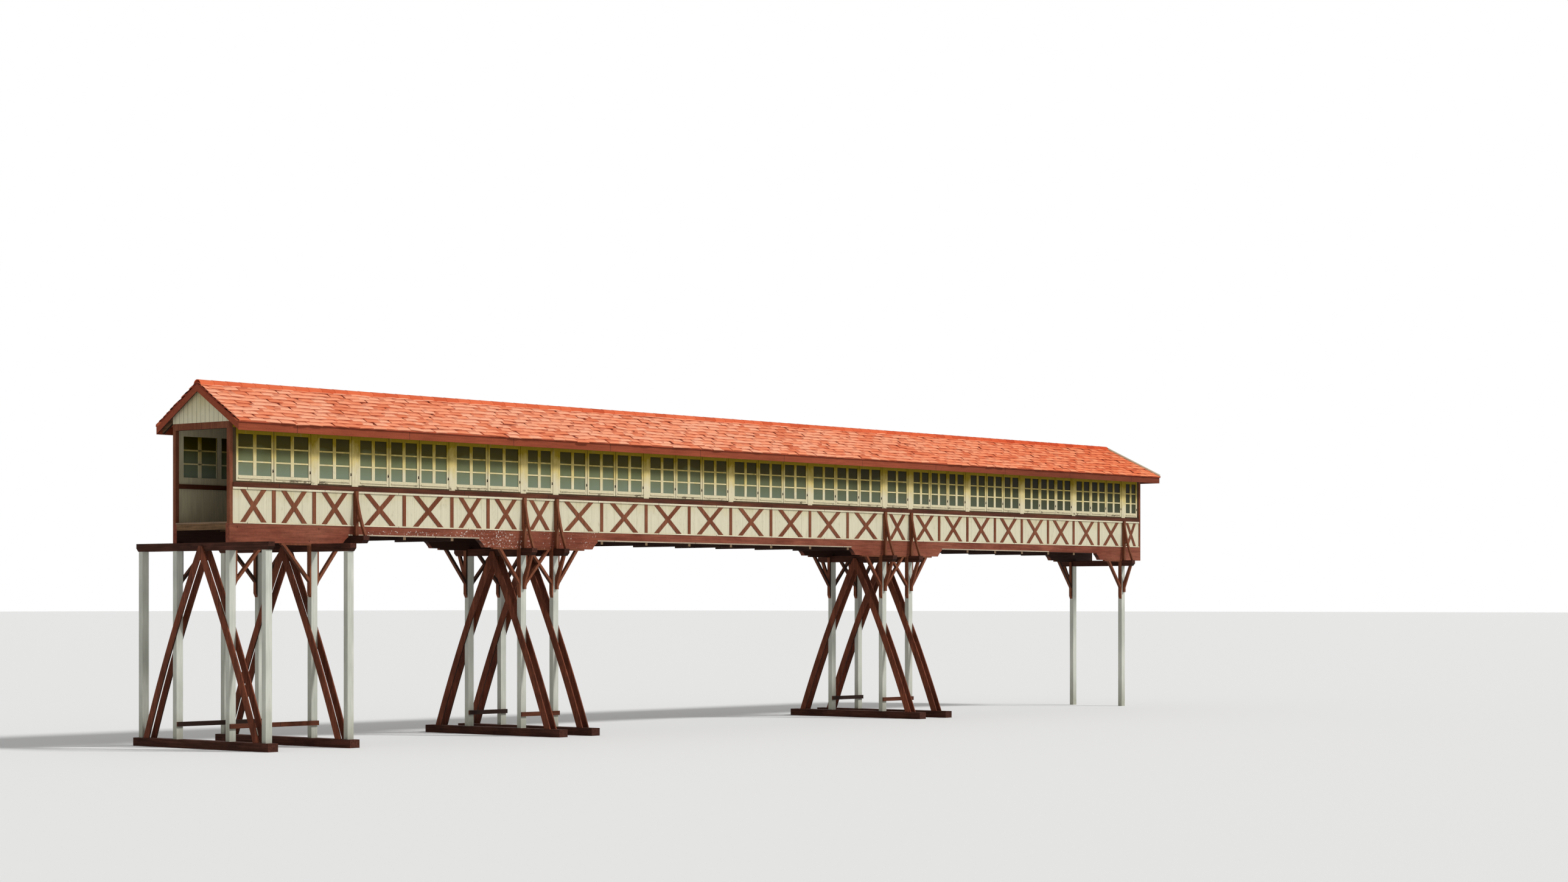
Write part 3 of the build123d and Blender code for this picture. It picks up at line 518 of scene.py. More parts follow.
finishes = [
    (white_post_paint, both("posts") + ["outer_posts"]),
    (dark_weathered_timber, ["sills", "needle_beams"]),
    (bearer_timber, ["floor_bearers"]),
    (maroon_plank_paint, both("rakers")),
    (red_brown_beam_paint, both("bolsters", "side_beam")),
    (fascia_paint, ["fascias", "left_bargeboards"]),
    (red_brown_upright_paint, both("knee_brackets", "outriggers", "cross_framing")),
    (red_brown_upright_paint, ["outward_brackets", "end_frame_left", "end_frame_right"]),
    (waist_rail_paint, both("waist_rail") + ["trestle_ties"]),
    # Painted shade on the wall solids behind the boards and sashes.
    (shadowed_joints, both("panel_wall", "window_wall")),
    (cream_gable_paint, ["left_gable"]),
    (cream_joinery_paint, both("mullions")),
    (white_moulding_paint, ["mouldings"]),
    (drip_strip_paint, ["drip_strips"]),
    (window_glass, both("glass")),
    (floor_board_wood, ["floor_deck"]),
    (bare_sawn_timber, ["floor_joists", "wall_plates", "roof_trusses"]),
    # Painted shade under the tiles.
    (shade_sheet_under_tiles, both("roof_slope") + ["roof_hip_end"]),
    (clay_ridge, ["ridge_cap"]),
    (lime_mortar, ["hip_caps"]),
]
for material, names in finishes:
    for name in names:
        for material_slot in nodes[name].material_slots:
            material_slot.material = material
print("Finished solids:", sum(len(names) for _, names in finishes), "of", len(nodes))

# %% [markdown]
# ## Helpers for Geometry Nodes
# Whatever repeats along the walkway is laid out by Geometry Nodes: sashes, wall boards, roof
# tiles. Each tree gets named inputs, whose identifiers are kept, because a modifier's input is
# set by its identifier. Boxes of any size on points are all that joinery needs.

# %% Node tree helpers
SOCKET_KINDS = {
    float: "NodeSocketFloat", int: "NodeSocketInt", tuple: "NodeSocketVector",
    type(None): "NodeSocketMaterial",
}


def new_tree(name, inputs):
    """A geometry tree with named inputs: the tree, their identifiers and their wires."""
    tree = bpy.data.node_groups.new(name, "GeometryNodeTree")
    tree.is_modifier = True
    tree.interface.new_socket(name="Geometry", in_out="INPUT", socket_type="NodeSocketGeometry")
    keys = {}
    for label, value in inputs.items():
        kind = SOCKET_KINDS[type(value)]
        socket = tree.interface.new_socket(name=label, in_out="INPUT", socket_type=kind)
        socket.default_value = value
        keys[label] = socket.identifier
    tree.interface.new_socket(name="Geometry", in_out="OUTPUT", socket_type="NodeSocketGeometry")
    return tree, keys, add_node(tree, "NodeGroupInput")


def close_tree(tree, parts, material):
    """Joins the parts, makes instances real, sets their material and ends the tree."""
    joined = add_node(tree, "GeometryNodeJoinGeometry", parts)
    real = add_node(tree, "GeometryNodeRealizeInstances", joined)
    clad = add_node(tree, "GeometryNodeSetMaterial", {"Geometry": real, "Material": material})
    add_node(tree, "NodeGroupOutput", clad)


def boxes_on(tree, points, centre, size):
    """A box on every point; centre and size are three numbers or wires each, in metres."""
    cube = add_node(tree, "GeometryNodeMeshCube", {"Size": (1, 1, 1)})
    offset = add_node(tree, "ShaderNodeCombineXYZ", *centre)
    moved = add_node(tree, "GeometryNodeSetPosition", {"Geometry": points, "Offset": offset})
    scale = add_node(tree, "ShaderNodeCombineXYZ", *size)
    return add_node(tree, "GeometryNodeInstanceOnPoints", {"Points": moved, "Instance": cube, "Scale": scale})


# %% [markdown]
# ## From a tree to a plain mesh
# A modifier with live instances would be lost in export, so each result is frozen: the tree
# runs once on a start mesh, Blender's evaluated copy becomes an ordinary mesh, and a new
# object at the origin carries it.

# %% Freezing a tree's result


def freeze(name, recipe, values, start_mesh=None):
    """Runs a geometry tree with these named inputs and returns its result as a plain object."""
    tree, keys = recipe
    carrier = bpy.data.objects.new(name + "_carrier", start_mesh or bpy.data.meshes.new(name + "_start"))
    bpy.context.scene.collection.objects.link(carrier)
    modifier = carrier.modifiers.new("shape", "NODES")
    modifier.node_group = tree
    for label, value in values.items():
        modifier[keys[label]] = value
    bpy.context.view_layer.update()
    depsgraph = bpy.context.evaluated_depsgraph_get()
    mesh = bpy.data.meshes.new_from_object(carrier.evaluated_get(depsgraph), depsgraph=depsgraph)
    bpy.data.objects.remove(carrier)
    mesh.name = name
    piece = bpy.data.objects.new(name, mesh)
    bpy.context.scene.collection.objects.link(piece)
    return piece


def points_mesh(name, places, attribute=None, values=None):
    """A mesh of bare points that can carry a number each."""
    mesh = bpy.data.meshes.new(name)
    mesh.from_pydata(places, [], [])
    if attribute:
        mesh.attributes.new(attribute, "FLOAT", "POINT").data.foreach_set("value", values)
    return mesh


# %% Cutting and settling a piece


def trim(piece, point, outward):
    """Cuts away what lies beyond a plane and closes the cut faces."""
    work = bmesh.new()
    work.from_mesh(piece.data)
    everything = work.verts[:] + work.edges[:] + work.faces[:]
    cut = bmesh.ops.bisect_plane(
        work, geom=everything, plane_co=point, plane_no=outward, clear_outer=True, dist=0.0001
    )
    edges = [item for item in cut["geom_cut"] if isinstance(item, bmesh.types.BMEdge)]
    bmesh.ops.holes_fill(work, edges=edges, sides=0)
    work.to_mesh(piece.data)
    work.free()


def settle(piece):
    """Puts a finished piece on the walkway's one body and prints its triangle count."""
    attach(piece, "root")
    print(piece.name, "triangles:", sum(len(face.vertices) - 2 for face in piece.data.polygons))


# %% [markdown]
# ## Casements
# Every opening in the window wall holds one casement of two pane columns and three rows. The
# leaf is joinery that repeats with small changes of width. One modelled leaf, copied and
# stretched, would get stiles of uneven width, so one tree builds every leaf on points instead:
# each point is an opening's centre and carries that opening's clear width. Thin gaps left
# between the leaves show the wall behind, whose dark coat is painted shade, and read as joints.
# The glass sits in the sash, not behind the wall, so one sheet for each leaf takes the place of
# the long glass solid.

# %% Openings measured from the wall solid
SIDES = ((-1.0, "near"), (1.0, "far"))


def edges_of(name, axis):
    """The different coordinates of a solid's corners along one axis, in order."""
    return sorted({round(vertex.co[axis], 4) for vertex in nodes[name].data.vertices})


wall_edges = edges_of("window_wall_near", 0)
opening_low, opening_high, window_top = edges_of("window_wall_near", 2)[1:]
openings = list(zip(wall_edges[1:-1:2], wall_edges[2:-1:2]))
wall_face = -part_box("window_wall_near")[0].y
print("Casements on a side:", len(openings), "clear height:", round(opening_high - opening_low, 3))

# %% Casement tree
SASH_RAIL = 0.13
RAIL_LAP = 0.003
STILE_LAP = 0.009
MEMBER_SETBACK = 0.006
BAR_SETBACK = 0.009
LEDGE_SIZE = (0.03, 0.022)
LEDGE_PROUD = 0.006
LEDGE_DROP = 0.058
LEDGE_SHORTER = 0.12


def casement_tree():
    """A leaf on each opening: two stiles, two rails, a centre member, two bars and a ledge."""
    sizes = {
        "Side": -1.0, "Clear height": 0.985, "Stile": 0.064, "Joint": 0.011, "Centre member": 0.1,
        "Bar": 0.036, "Face": 1.036, "Back": 0.998, "Paint": None,
    }
    tree, keys, given = new_tree("fit_casements", sizes)
    points, side, high = given["Geometry"], given["Side"], given["Clear height"]
    clear = add_node(tree, "GeometryNodeInputNamedAttribute", "clear_width")

    def depth(setback):
        """The y centre and the thickness of a member that starts so far behind the leaf's face."""
        front = given["Face"] - setback
        return (front + given["Back"]) * 0.5 * side, front - given["Back"]

    frame_y, frame_depth = depth(0.0)
    member_y, member_depth = depth(MEMBER_SETBACK)
    bar_y, bar_depth = depth(BAR_SETBACK)
    board = given["Stile"] + STILE_LAP - given["Joint"]
    stile_x = clear * 0.5 + board * 0.5 - RAIL_LAP
    rail_z = high * 0.5 + (SASH_RAIL / 2 - RAIL_LAP)
    parts = [boxes_on(tree, points, (0.0, member_y, 0.0), (given["Centre member"], member_depth, high))]
    for sign in (-1, 1):
        stile = (board, frame_depth, high + 2 * SASH_RAIL)
        parts.append(boxes_on(tree, points, (stile_x * sign, frame_y, 0.0), stile))
        parts.append(boxes_on(tree, points, (0.0, member_y, rail_z * sign), (clear, member_depth, SASH_RAIL)))
        bar = (clear, bar_depth, given["Bar"])
        parts.append(boxes_on(tree, points, (0.0, bar_y, high * (sign / 6)), bar))
    ledge_place = (0.0, (given["Face"] + LEDGE_PROUD) * side, -LEDGE_DROP - high * 0.5)
    ledge_length = clear + board * 1.9 - LEDGE_SHORTER
    parts.append(boxes_on(tree, points, ledge_place, (ledge_length, *LEDGE_SIZE)))
    close_tree(tree, parts, given["Paint"])
    return tree, keys


fit_casements = casement_tree()

# %% Pane tree


def pane_tree():
    """One thin sheet of glass for each casement, set into the back of its sash."""
    sizes = {"Side": -1.0, "Clear height": 0.985, "Pane face": 1.017, "Thickness": 0.004, "Glass": None}
    tree, keys, given = new_tree("fit_panes", sizes)
    across = (given["Pane face"] - given["Thickness"] * 0.5) * given["Side"]
    clear = add_node(tree, "GeometryNodeInputNamedAttribute", "clear_width")
    size = (clear, given["Thickness"], given["Clear height"])
    panes = boxes_on(tree, given["Geometry"], (0.0, across, 0.0), size)
    close_tree(tree, [panes], given["Glass"])
    return tree, keys


fit_panes = pane_tree()

# %% Casements and panes on both sides
opening_height = opening_high - opening_low
middle_height = (opening_low + opening_high) / 2
centres = [((left + right) / 2, 0.0, middle_height) for left, right in openings]
widths = [right - left for left, right in openings]
for side, word in SIDES:
    sizes = {"Side": side, "Clear height": opening_height}
    start = points_mesh("opening_centres_" + word, centres, "clear_width", widths)
    settle(
        freeze("casements_" + word, fit_casements, {**sizes, "Paint": cream_joinery_paint}, start),
    )
    start = points_mesh("pane_centres_" + word, centres, "clear_width", widths)
    panes = freeze("window_panes_" + word, fit_panes, {**sizes, "Glass": window_glass}, start)
    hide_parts("glass_" + word)
    settle(panes)

# %% [markdown]
# ## Iron catches
# Each casement is held by a small iron bolt on a back plate, low on its right stile. They are
# only dark dots from the ground, but without them the long row of windows looks too even. Two
# boxes each are enough for that, so the same helper sets them on points.

# %% Catches
STILE_WIDTH = 0.07
CATCH_HEIGHT = 0.13
PLATE_SIZE = (0.018, 0.01, 0.07)
BOLT_SIZE = (0.012, 0.014, 0.03)


def catch_tree():
    tree, keys, given = new_tree("fit_catches", {"Side": -1.0, "Iron": None})
    plate = (0.0, given["Side"] * (wall_face + 0.014), 0.0)
    bolt = (0.0, given["Side"] * (wall_face + 0.024), -0.012)
    parts = [
        boxes_on(tree, given["Geometry"], plate, PLATE_SIZE),
        boxes_on(tree, given["Geometry"], bolt, BOLT_SIZE),
    ]
    close_tree(tree, parts, given["Iron"])
    return tree, keys


fit_catches = catch_tree()
catches = [(right + STILE_WIDTH * 0.55, 0.0, opening_low + CATCH_HEIGHT) for left, right in openings]
for side, word in SIDES:
    start = points_mesh("catches_" + word, catches)
    settle(freeze("casement_catches_" + word, fit_catches, {"Side": side, "Iron": black_iron}, start))

# %% [markdown]
# ## Wall boards
# The band below the windows is boarded upright. Real boards shrink and leave dark joints, so
# thin boards with gaps are laid over the panel solid, each a little thicker or thinner than the
# next, and the panel solid's dark coat in the gaps is painted shade. The frieze above the
# casements gets wide boards in the same way.

# %% Board tree


def board_tree():
    sizes = {
        "Side": -1.0, "Joint": 0.004, "Height": 0.78, "Thickness": 0.006, "Face": 1.025,
        "Seed": 5, "Paint": None,
    }
    tree, keys, given = new_tree("lay_wall_boards", sizes)
    chance = add_node(tree, "FunctionNodeRandomValue", 0.0, 0.003, None, given["Seed"])
    proud = given["Thickness"] + chance
    across = (given["Face"] + proud * 0.5) * given["Side"]
    width = add_node(tree, "GeometryNodeInputNamedAttribute", "board_width")
    size = (width - given["Joint"], proud, given["Height"])
    boards = boxes_on(tree, given["Geometry"], (0.0, across, 0.0), size)
    close_tree(tree, [boards], given["Paint"])
    return tree, keys


lay_boards = board_tree()


def lay_side_boards(name, edges, low, high, seed, **values):
    """Boards between the given upright edges, on both long walls."""
    pairs = list(zip(edges[:-1], edges[1:]))
    places = [((left + right) / 2, 0.0, (low + high) / 2) for left, right in pairs]
    board_widths = [right - left for left, right in pairs]
    for n, (side, word) in enumerate(SIDES):
        start = points_mesh(name + "_places_" + word, places, "board_width", board_widths)
        sizes = {"Side": side, "Height": high - low, "Seed": seed + n, **values}
        settle(freeze(name + "_" + word, lay_boards, sizes, start))


# %% Boards in the panels and in the frieze
BOARD_WIDTH = 0.29
FIRST_JOINT = 0.085
FRIEZE_BOARDS = 14
FRIEZE_START = 0.138
mullion_edges = edges_of("mullions_near", 0)
mullion_centres = [(a + b) / 2 for a, b in zip(mullion_edges[::2], mullion_edges[1::2])]
bay_lines = [wall_edges[0], *mullion_centres, wall_edges[-1]]
board_edges = [wall_edges[0]]
for left, right in zip(bay_lines[:-1], bay_lines[1:]):
    count = round((right - left) / BOARD_WIDTH)
    board_edges += [left + (right - left) * n / count - FIRST_JOINT for n in range(1, count + 1)]
board_edges[-1] = wall_edges[-1]
lower_edge, upper_edge = edges_of("mouldings", 2)[1:3]
panel_face = -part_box("panel_wall_near")[0].y
lay_side_boards(
    "wall_boards", board_edges, lower_edge, upper_edge, 5,
    Thickness=0.006, Joint=0.003, Face=panel_face, Paint=cream_board_paint,
)
wall_length = wall_edges[-1] - wall_edges[0]
frieze_edges = [wall_edges[0] + wall_length * n / FRIEZE_BOARDS for n in range(FRIEZE_BOARDS + 1)]
lay_side_boards(
    "frieze_boards", frieze_edges, opening_high + FRIEZE_START, window_top, 7,
    Thickness=0.01, Joint=0.004, Face=wall_face, Paint=cream_joinery_paint,
)

# %% [markdown]
# ## Bolts over the trestles
# Beam and bolster are bolted together beside each post. A round head on a round washer is
# enough at this size, and one tree sets it on points. The beams were painted after they were
# bolted, so the heads wear the same paint.

# %% Bolts
BOLT_OFFSET = 0.15
ABOVE_BOLSTER_FOOT = 0.07
BELOW_BEAM_TOP = 0.08


def bolt_tree():
    tree, keys, given = new_tree(
        "set_bolts", {"Side": -1.0, "Head radius": 0.014, "Washer radius": 0.026, "Finish": None}
    )
    parts = []
    washer, head = (given["Washer radius"], 0.004, 0.001), (given["Head radius"], 0.014, 0.008)
    for radius, height, seat in (washer, head):
        disc = add_node(tree, "GeometryNodeMeshCylinder", {"Vertices": 10, "Radius": radius, "Depth": height})
        proud = add_node(tree, "ShaderNodeCombineXYZ", 0.0, given["Side"] * seat)
        moved = add_node(tree, "GeometryNodeSetPosition", {"Geometry": given["Geometry"], "Offset": proud})
        on_points = {"Points": moved, "Instance": disc, "Rotation": (math.pi / 2, 0.0, 0.0)}
        parts.append(add_node(tree, "GeometryNodeInstanceOnPoints", on_points))
    close_tree(tree, parts, given["Finish"])
    return tree, keys


set_bolts = bolt_tree()
post_edges = edges_of("posts_near", 0)
post_centres = [(left + right) / 2 for left, right in zip(post_edges[::2], post_edges[1::2])]
beam_face = -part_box("side_beam_near")[0].y
bolster_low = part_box("bolsters_near")[0].z
low_bolt = (-BOLT_OFFSET, bolster_low + ABOVE_BOLSTER_FOOT)
high_bolt = (BOLT_OFFSET, beam_top - BELOW_BEAM_TOP)
bolt_places = []
for x in post_centres:
    for offset, z in (low_bolt, high_bolt):
        if wall_edges[0] < x + offset < wall_edges[-1]:
            bolt_places.append((x + offset, z))
for side, word in SIDES:
    start = points_mesh("bolt_places_" + word, [(x, side * beam_face, z) for x, z in bolt_places])
    sizes = {"Side": side, "Finish": red_brown_beam_paint}
    settle(freeze("beam_bolts_" + word, set_bolts, sizes, start))

# %% [markdown]
# ## Roof tiles
# Hand-laid flat tiles never lie quite level: each one tips and shifts a little, so the courses
# wave and dark notches open between them. Modelling two thousand tiles by hand is hopeless and
# a flat bump would lose the ragged eaves, so Geometry Nodes lay one arched tile on a grid, half
# a tile apart from course to course, and jitter each copy by a fixed seed.

# %% One tile
TILE_LENGTH = 0.27
TILE_THICKNESS = 0.02
TILE_SPREAD = 1.04
TONGUE = 0.07
ARCH = 0.04


def thick_sheet(tree, flat, moves, thickness):
    """Bends a flat sheet by a position or an offset and gives it a closed thickness."""
    bent = add_node(tree, "GeometryNodeSetPosition", {"Geometry": flat, **moves})
    pulled = {"Mesh": bent, "Offset Scale": thickness, "Individual": False}
    under = add_node(tree, "GeometryNodeFlipFaces", bent)
    upper = add_node(tree, "GeometryNodeExtrudeMesh", pulled)
    whole = add_node(tree, "GeometryNodeJoinGeometry", [under, upper])
    return add_node(tree, "GeometryNodeMergeByDistance", {"Geometry": whole, "Distance": 0.0005})


def position(tree):
    """The place of each point of a mesh, in three parts."""
    return add_node(tree, "ShaderNodeSeparateXYZ", add_node(tree, "GeometryNodeInputPosition"))


def tile_shape(tree, tile_width):
    """One flat tile with its lower edge at the origin, slightly arched across its width."""
    width = tile_width * TILE_SPREAD
    sheet = {"Size X": width, "Size Y": TILE_LENGTH, "Vertices X": 7, "Vertices Y": 2}
    ratio = position(tree)["X"] / width
    curve = ratio * ratio
    bend = add_node(tree, "ShaderNodeCombineXYZ", 0.0, curve * TONGUE + TILE_LENGTH / 2, curve * -ARCH)
    flat = add_node(tree, "GeometryNodeMeshGrid", sheet)
    tile = thick_sheet(tree, flat, {"Offset": bend}, TILE_THICKNESS)
    marks = {"Geometry": tile, "Name": "tile_height", "Value": position(tree)["Y"]}
    return add_node(tree, "GeometryNodeStoreNamedAttribute", marks)


def with_tones(tree, laid, seed):
    """Gives every laid tile a tone of its own, from nought to one."""
    chance = add_node(tree, "FunctionNodeRandomValue", 0.0, 1.0, None, seed)
    tone = {"Geometry": laid, "Name": "tile_tone", "Value": chance}
    return add_node(tree, "GeometryNodeStoreNamedAttribute", tone, domain="INSTANCE")


# %% Tile grid tree
HALF_BOND = 0.5
WAVES_PER_METRE = 0.9
SAG_LEVEL = 0.35
SAG_DEPTH = 0.16
# Each pair is the least and the most that a tile may shift in metres, then tip in radians.
SHIFTS = ((-0.06, 0.06), (0.0, 0.025), (0.0, 0.012))
TIPS = ((-0.035, 0.045), (-0.035, 0.035), (-0.045, 0.045))


def tile_tree():
    """Lays courses of tiles on a flat grid, then turns the whole sheet onto its slope."""
    sizes = {
        "Length": 39.0, "Courses": 11, "Course step": 0.17, "Tile width": 0.42, "Tilt": 0.1, "Lift": 0.02,
        "Turn": (0.0, 0.0, 0.0), "Place": (0.0, 0.0, 0.0), "Seed": 1, "Clay": None,
    }
    tree, keys, given = new_tree("lay_roof_tiles", sizes)
    width, step = given["Tile width"], given["Course step"]
    columns = add_node(tree, "ShaderNodeMath", given["Length"] / width, operation="CEIL") + 2.0
    up_slope = (given["Courses"] - 1.0) * step
    grid = {
        "Size X": (columns - 1.0) * width, "Size Y": up_slope,
        "Vertices X": columns, "Vertices Y": given["Courses"],
    }
    from_eave = position(tree)["Y"] + up_slope * 0.5
    course = add_node(tree, "ShaderNodeMath", from_eave / step, operation="ROUND")
    odd_course = add_node(tree, "ShaderNodeMath", course, 2.0, operation="MODULO")
    waves = add_node(tree, "ShaderNodeTexNoise", {"Scale": WAVES_PER_METRE, "Detail": 2.0})
    sag = (waves - SAG_LEVEL) * SAG_DEPTH
    along, up, out, tilt, roll, twist = [
        add_node(tree, "FunctionNodeRandomValue", low, high, None, given["Seed"] + float(n))
        for n, (low, high) in enumerate(SHIFTS + TIPS)
    ]
    half_tile = odd_course * width * HALF_BOND
    wander = add_node(tree, "ShaderNodeCombineXYZ", half_tile + along, sag + up, given["Lift"] + out)
    flat = add_node(tree, "GeometryNodeMeshGrid", grid)
    spread = add_node(tree, "GeometryNodeSetPosition", {"Geometry": flat, "Offset": wander})
    tip = add_node(tree, "ShaderNodeCombineXYZ", given["Tilt"] + tilt, roll, twist)
    tiles = {"Points": spread, "Instance": tile_shape(tree, width), "Rotation": tip}
    laid = with_tones(tree, add_node(tree, "GeometryNodeInstanceOnPoints", tiles), 91)
    slope = {"Geometry": laid, "Rotation": given["Turn"], "Translation": given["Place"]}
    close_tree(tree, [add_node(tree, "GeometryNodeTransform", slope)], given["Clay"])
    return tree, keys


lay_tiles = tile_tree()
print("Tile tree nodes:", len(lay_tiles[0].nodes))

# %% [markdown]
# ## Laying the three slopes
# The slope solids give the roof's corners: where the ridge stops, how far the eaves reach and
# how high both lie. Each sheet of tiles is laid a little long, then cut along the hips, where
# the mortar rolls cover the cut.

# %% Roof measures
ROOF_PITCH = math.radians(32.4)
COURSES = 11
TILE_WIDTH = 0.42
TILE_TILT = -0.085
TILE_LIFT = 0.012
EAVE_LAP = 0.05
near_low, near_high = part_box("roof_slope_near")
eave_reach = -near_low.y
roof_start, roof_end = near_low.x, near_high.x
hip_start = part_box("roof_hip_end")[0].x
slope_rise = eave_reach * math.tan(ROOF_PITCH)
eave_z = near_high.z - slope_rise
print("Eave reach:", round(eave_reach, 3), "hip run:", round(roof_end - hip_start, 3))

# %% Tiles on the slopes


def lay_slope(name, run, length, turn, eave_middle, seed):
    """One sheet of tiles up from its eave line. turn is the slope's direction seen from above."""
    pitch = math.atan2(slope_rise, run)
    slope_length = math.hypot(run, slope_rise)
    step = slope_length / COURSES
    level = math.cos(pitch)
    up = Vector((-math.sin(turn) * level, math.cos(turn) * level, math.sin(pitch)))
    middle = Vector(eave_middle) + up * ((slope_length - step) / 2 - EAVE_LAP)
    sizes = {
        "Length": length, "Courses": COURSES, "Course step": step, "Tile width": TILE_WIDTH,
        "Tilt": TILE_TILT, "Lift": TILE_LIFT, "Turn": (pitch, 0.0, turn), "Place": tuple(middle),
        "Seed": seed, "Clay": clay_tile,
    }
    return freeze(name, lay_tiles, sizes)


roof_length = roof_end - roof_start
middle_x = (roof_start + roof_end) / 2
near_eave, far_eave = (middle_x, -eave_reach, eave_z), (middle_x, eave_reach, eave_z)
tiles_near = lay_slope("roof_tiles_near", eave_reach, roof_length, 0.0, near_eave, 3)
tiles_far = lay_slope("roof_tiles_far", eave_reach, roof_length, math.pi, far_eave, 11)
tiles_hip = lay_slope(
    "roof_tiles_hip_end", roof_end - hip_start, 2 * eave_reach, math.pi / 2, (roof_end, 0.0, eave_z), 23
)
hip_side = Vector((eave_reach, hip_start - roof_end, 0)).normalized()
ridge_end = Vector((hip_start, 0, 0))
last_x = cad_box[1][0]
for piece, side in ((tiles_near, -1), (tiles_far, 1)):
    trim(piece, (roof_start, 0, 0), (-1, 0, 0))
    trim(piece, (last_x, 0, 0), (1, 0, 0))
    trim(piece, (0, 0, 0), (0, -side, 0))
    trim(piece, ridge_end, (hip_side.x, side * hip_side.y, 0))
    settle(piece)
trim(tiles_hip, (last_x, 0, 0), (1, 0, 0))
trim(tiles_hip, ridge_end, (-hip_side.x, -hip_side.y, 0))
trim(tiles_hip, ridge_end, (-hip_side.x, hip_side.y, 0))
settle(tiles_hip)

# %% [markdown]
# ## Ridge tiles
# Half-round tiles cover the ridge, the wide end of each lapping the narrow end of the next.
# One long roll would lose those laps, which break the skyline. The tree bends one sheet into a
# tapered half tube, gives it a thickness and repeats it along the ridge with a slight roll. The
# tiles take the place of the plain ridge solid.

# %% Ridge tile tree
WIDE_END = 0.975
TAPER = 0.045
WIDTH_SHARE = 0.93
HEIGHT_SHARE = 0.9


def ridge_tree():
    sizes = {"Length": 0.46, "Half width": 0.12, "Height": 0.1, "Thickness": 0.012, "Clay": None}
    tree, keys, given = new_tree("lay_ridge_tiles", sizes)
    grid = {"Size X": given["Length"], "Size Y": 1.0, "Vertices X": 2, "Vertices Y": 11}
    point = position(tree)
    angle = point["Y"] * math.pi
    taper = WIDE_END - point["X"] / given["Length"] * TAPER
    sine = add_node(tree, "ShaderNodeMath", angle, operation="SINE")
    cosine = add_node(tree, "ShaderNodeMath", angle, operation="COSINE")
    across = sine * (given["Half width"] * taper * WIDTH_SHARE)
    upward = cosine * (given["Height"] * taper * HEIGHT_SHARE)
    bent = add_node(tree, "ShaderNodeCombineXYZ", point["X"], across, upward)
    flat = add_node(tree, "GeometryNodeMeshGrid", grid)
    tile = thick_sheet(tree, flat, {"Position": bent}, given["Thickness"])
    chance = add_node(tree, "FunctionNodeRandomValue", -0.012, 0.012, None, 31)
    roll = add_node(tree, "ShaderNodeCombineXYZ", chance)
    tiles = {"Points": given["Geometry"], "Instance": tile, "Rotation": roll}
    laid = with_tones(tree, add_node(tree, "GeometryNodeInstanceOnPoints", tiles), 92)
    close_tree(tree, [laid], given["Clay"])
    return tree, keys


lay_ridge = ridge_tree()

# %% Ridge tiles in place
RIDGE_TILE = 0.42
RIDGE_MARGIN = 0.02
RIDGE_LAP = 0.03
cap_low, cap_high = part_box("ridge_cap")
ridge_length = cap_high.x - cap_low.x - 2 * RIDGE_MARGIN
ridge_count = int(ridge_length / RIDGE_TILE)
ridge_step = ridge_length / ridge_count
first_x = cap_low.x + RIDGE_MARGIN
ridge_places = [(first_x + ridge_step * (n + 0.5), 0.0, cap_low.z) for n in range(ridge_count)]
sizes = {
    "Length": ridge_step + RIDGE_LAP, "Half width": cap_high.y, "Height": cap_high.z - cap_low.z,
    "Clay": clay_ridge,
}
ridge_tiles = freeze("ridge_tiles", lay_ridge, sizes, points_mesh("ridge_places", ridge_places))
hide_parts("ridge_cap")
settle(ridge_tiles)

# %% [markdown]
# ## Floor, light and camera
# A pale floor and a wide soft sun show the paint as it is. The camera stands where the
# picture was taken: a little over three metres up, looking level, with the lens shifted upward
# so that posts stay upright. Its sizes are in pixels of the picture, and the lens follows.

# %% Floor
FLOOR_REACH = 900.0


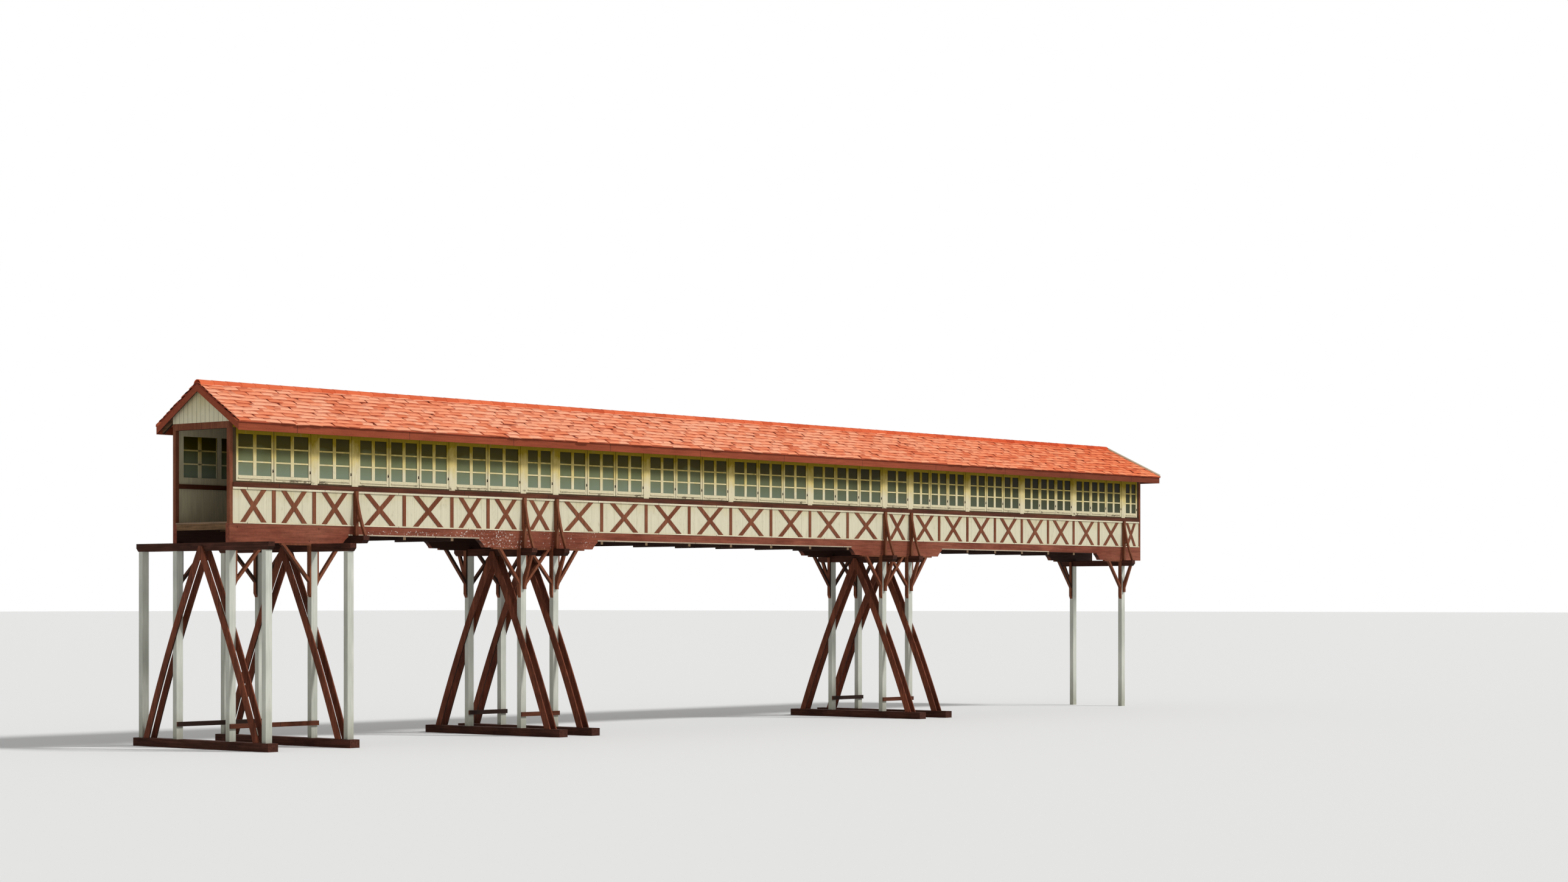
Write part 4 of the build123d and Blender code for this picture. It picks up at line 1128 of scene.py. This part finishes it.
def pale_floor():
    material, tree = blank_finish("pale_studio_floor")
    inputs = tree.nodes["Principled BSDF"].inputs
    fill(inputs["Base Color"], (0.86, 0.86, 0.85, 1.0))
    fill(inputs["Roughness"], 0.9)
    mesh = bpy.data.meshes.new("studio_floor")
    corners = [(x * FLOOR_REACH, y * FLOOR_REACH, 0) for x, y in ((-1, -1), (1, -1), (1, 1), (-1, 1))]
    mesh.from_pydata(corners, [], [(0, 1, 2, 3)])
    mesh.materials.append(material)
    floor = bpy.data.objects.new("studio_floor", mesh)
    bpy.context.scene.collection.objects.link(floor)


pale_floor()

# %% Light


def soft_world(strength):
    """A plain white sky that lights evenly and shows white to the camera and in reflections."""
    world = bpy.data.worlds.new("soft_studio_sky")
    world.use_nodes = True
    tree = world.node_tree
    tree.nodes.clear()
    path = add_node(tree, "ShaderNodeLightPath")
    rays = (path["Is Camera Ray"], path["Is Glossy Ray"])
    seen = add_node(tree, "ShaderNodeMath", *rays, operation="MAXIMUM")
    glow = add_node(tree, "ShaderNodeMapRange", seen, 0.0, 1.0, strength, 1.0)
    sky = {"Color": "#FFFFFF", "Strength": glow}
    add_node(tree, "ShaderNodeOutputWorld", {"Surface": add_node(tree, "ShaderNodeBackground", sky)})
    bpy.context.scene.world = world


def soft_sun(strength, direction, spread_degrees):
    lamp = bpy.data.lights.new("soft_key", "SUN")
    lamp.energy = strength
    lamp.angle = math.radians(spread_degrees)
    holder = bpy.data.objects.new("soft_key", lamp)
    holder.rotation_euler = Vector(direction).to_track_quat("-Z", "Y").to_euler()
    bpy.context.scene.collection.objects.link(holder)


soft_world(0.37)
soft_sun(2.35, (-0.42, 0.68, -0.72), 9)

# %% Camera
PICTURE_WIDTH = 2576.0
FOCAL_LENGTH = 4781.0
HORIZON_BELOW_MIDDLE = 265.5
LOOKS_ALONG = (0.769, 0.639)
camera = bpy.data.objects.new("walkway_camera", bpy.data.cameras.new("walkway_camera"))
camera.location = (-64.0525, -54.745, 3.47)
camera.rotation_euler = (math.pi / 2, 0.0, -math.atan2(*LOOKS_ALONG))
camera.data.sensor_width = 36.0
camera.data.lens = FOCAL_LENGTH / PICTURE_WIDTH * camera.data.sensor_width
camera.data.shift_y = HORIZON_BELOW_MIDDLE / PICTURE_WIDTH
camera.data.clip_end = 3000.0
bpy.context.scene.collection.objects.link(camera)
bpy.context.scene.camera = camera
bpy.context.scene.view_settings.view_transform = "Standard"
print("Lens in millimetres:", round(camera.data.lens, 1))
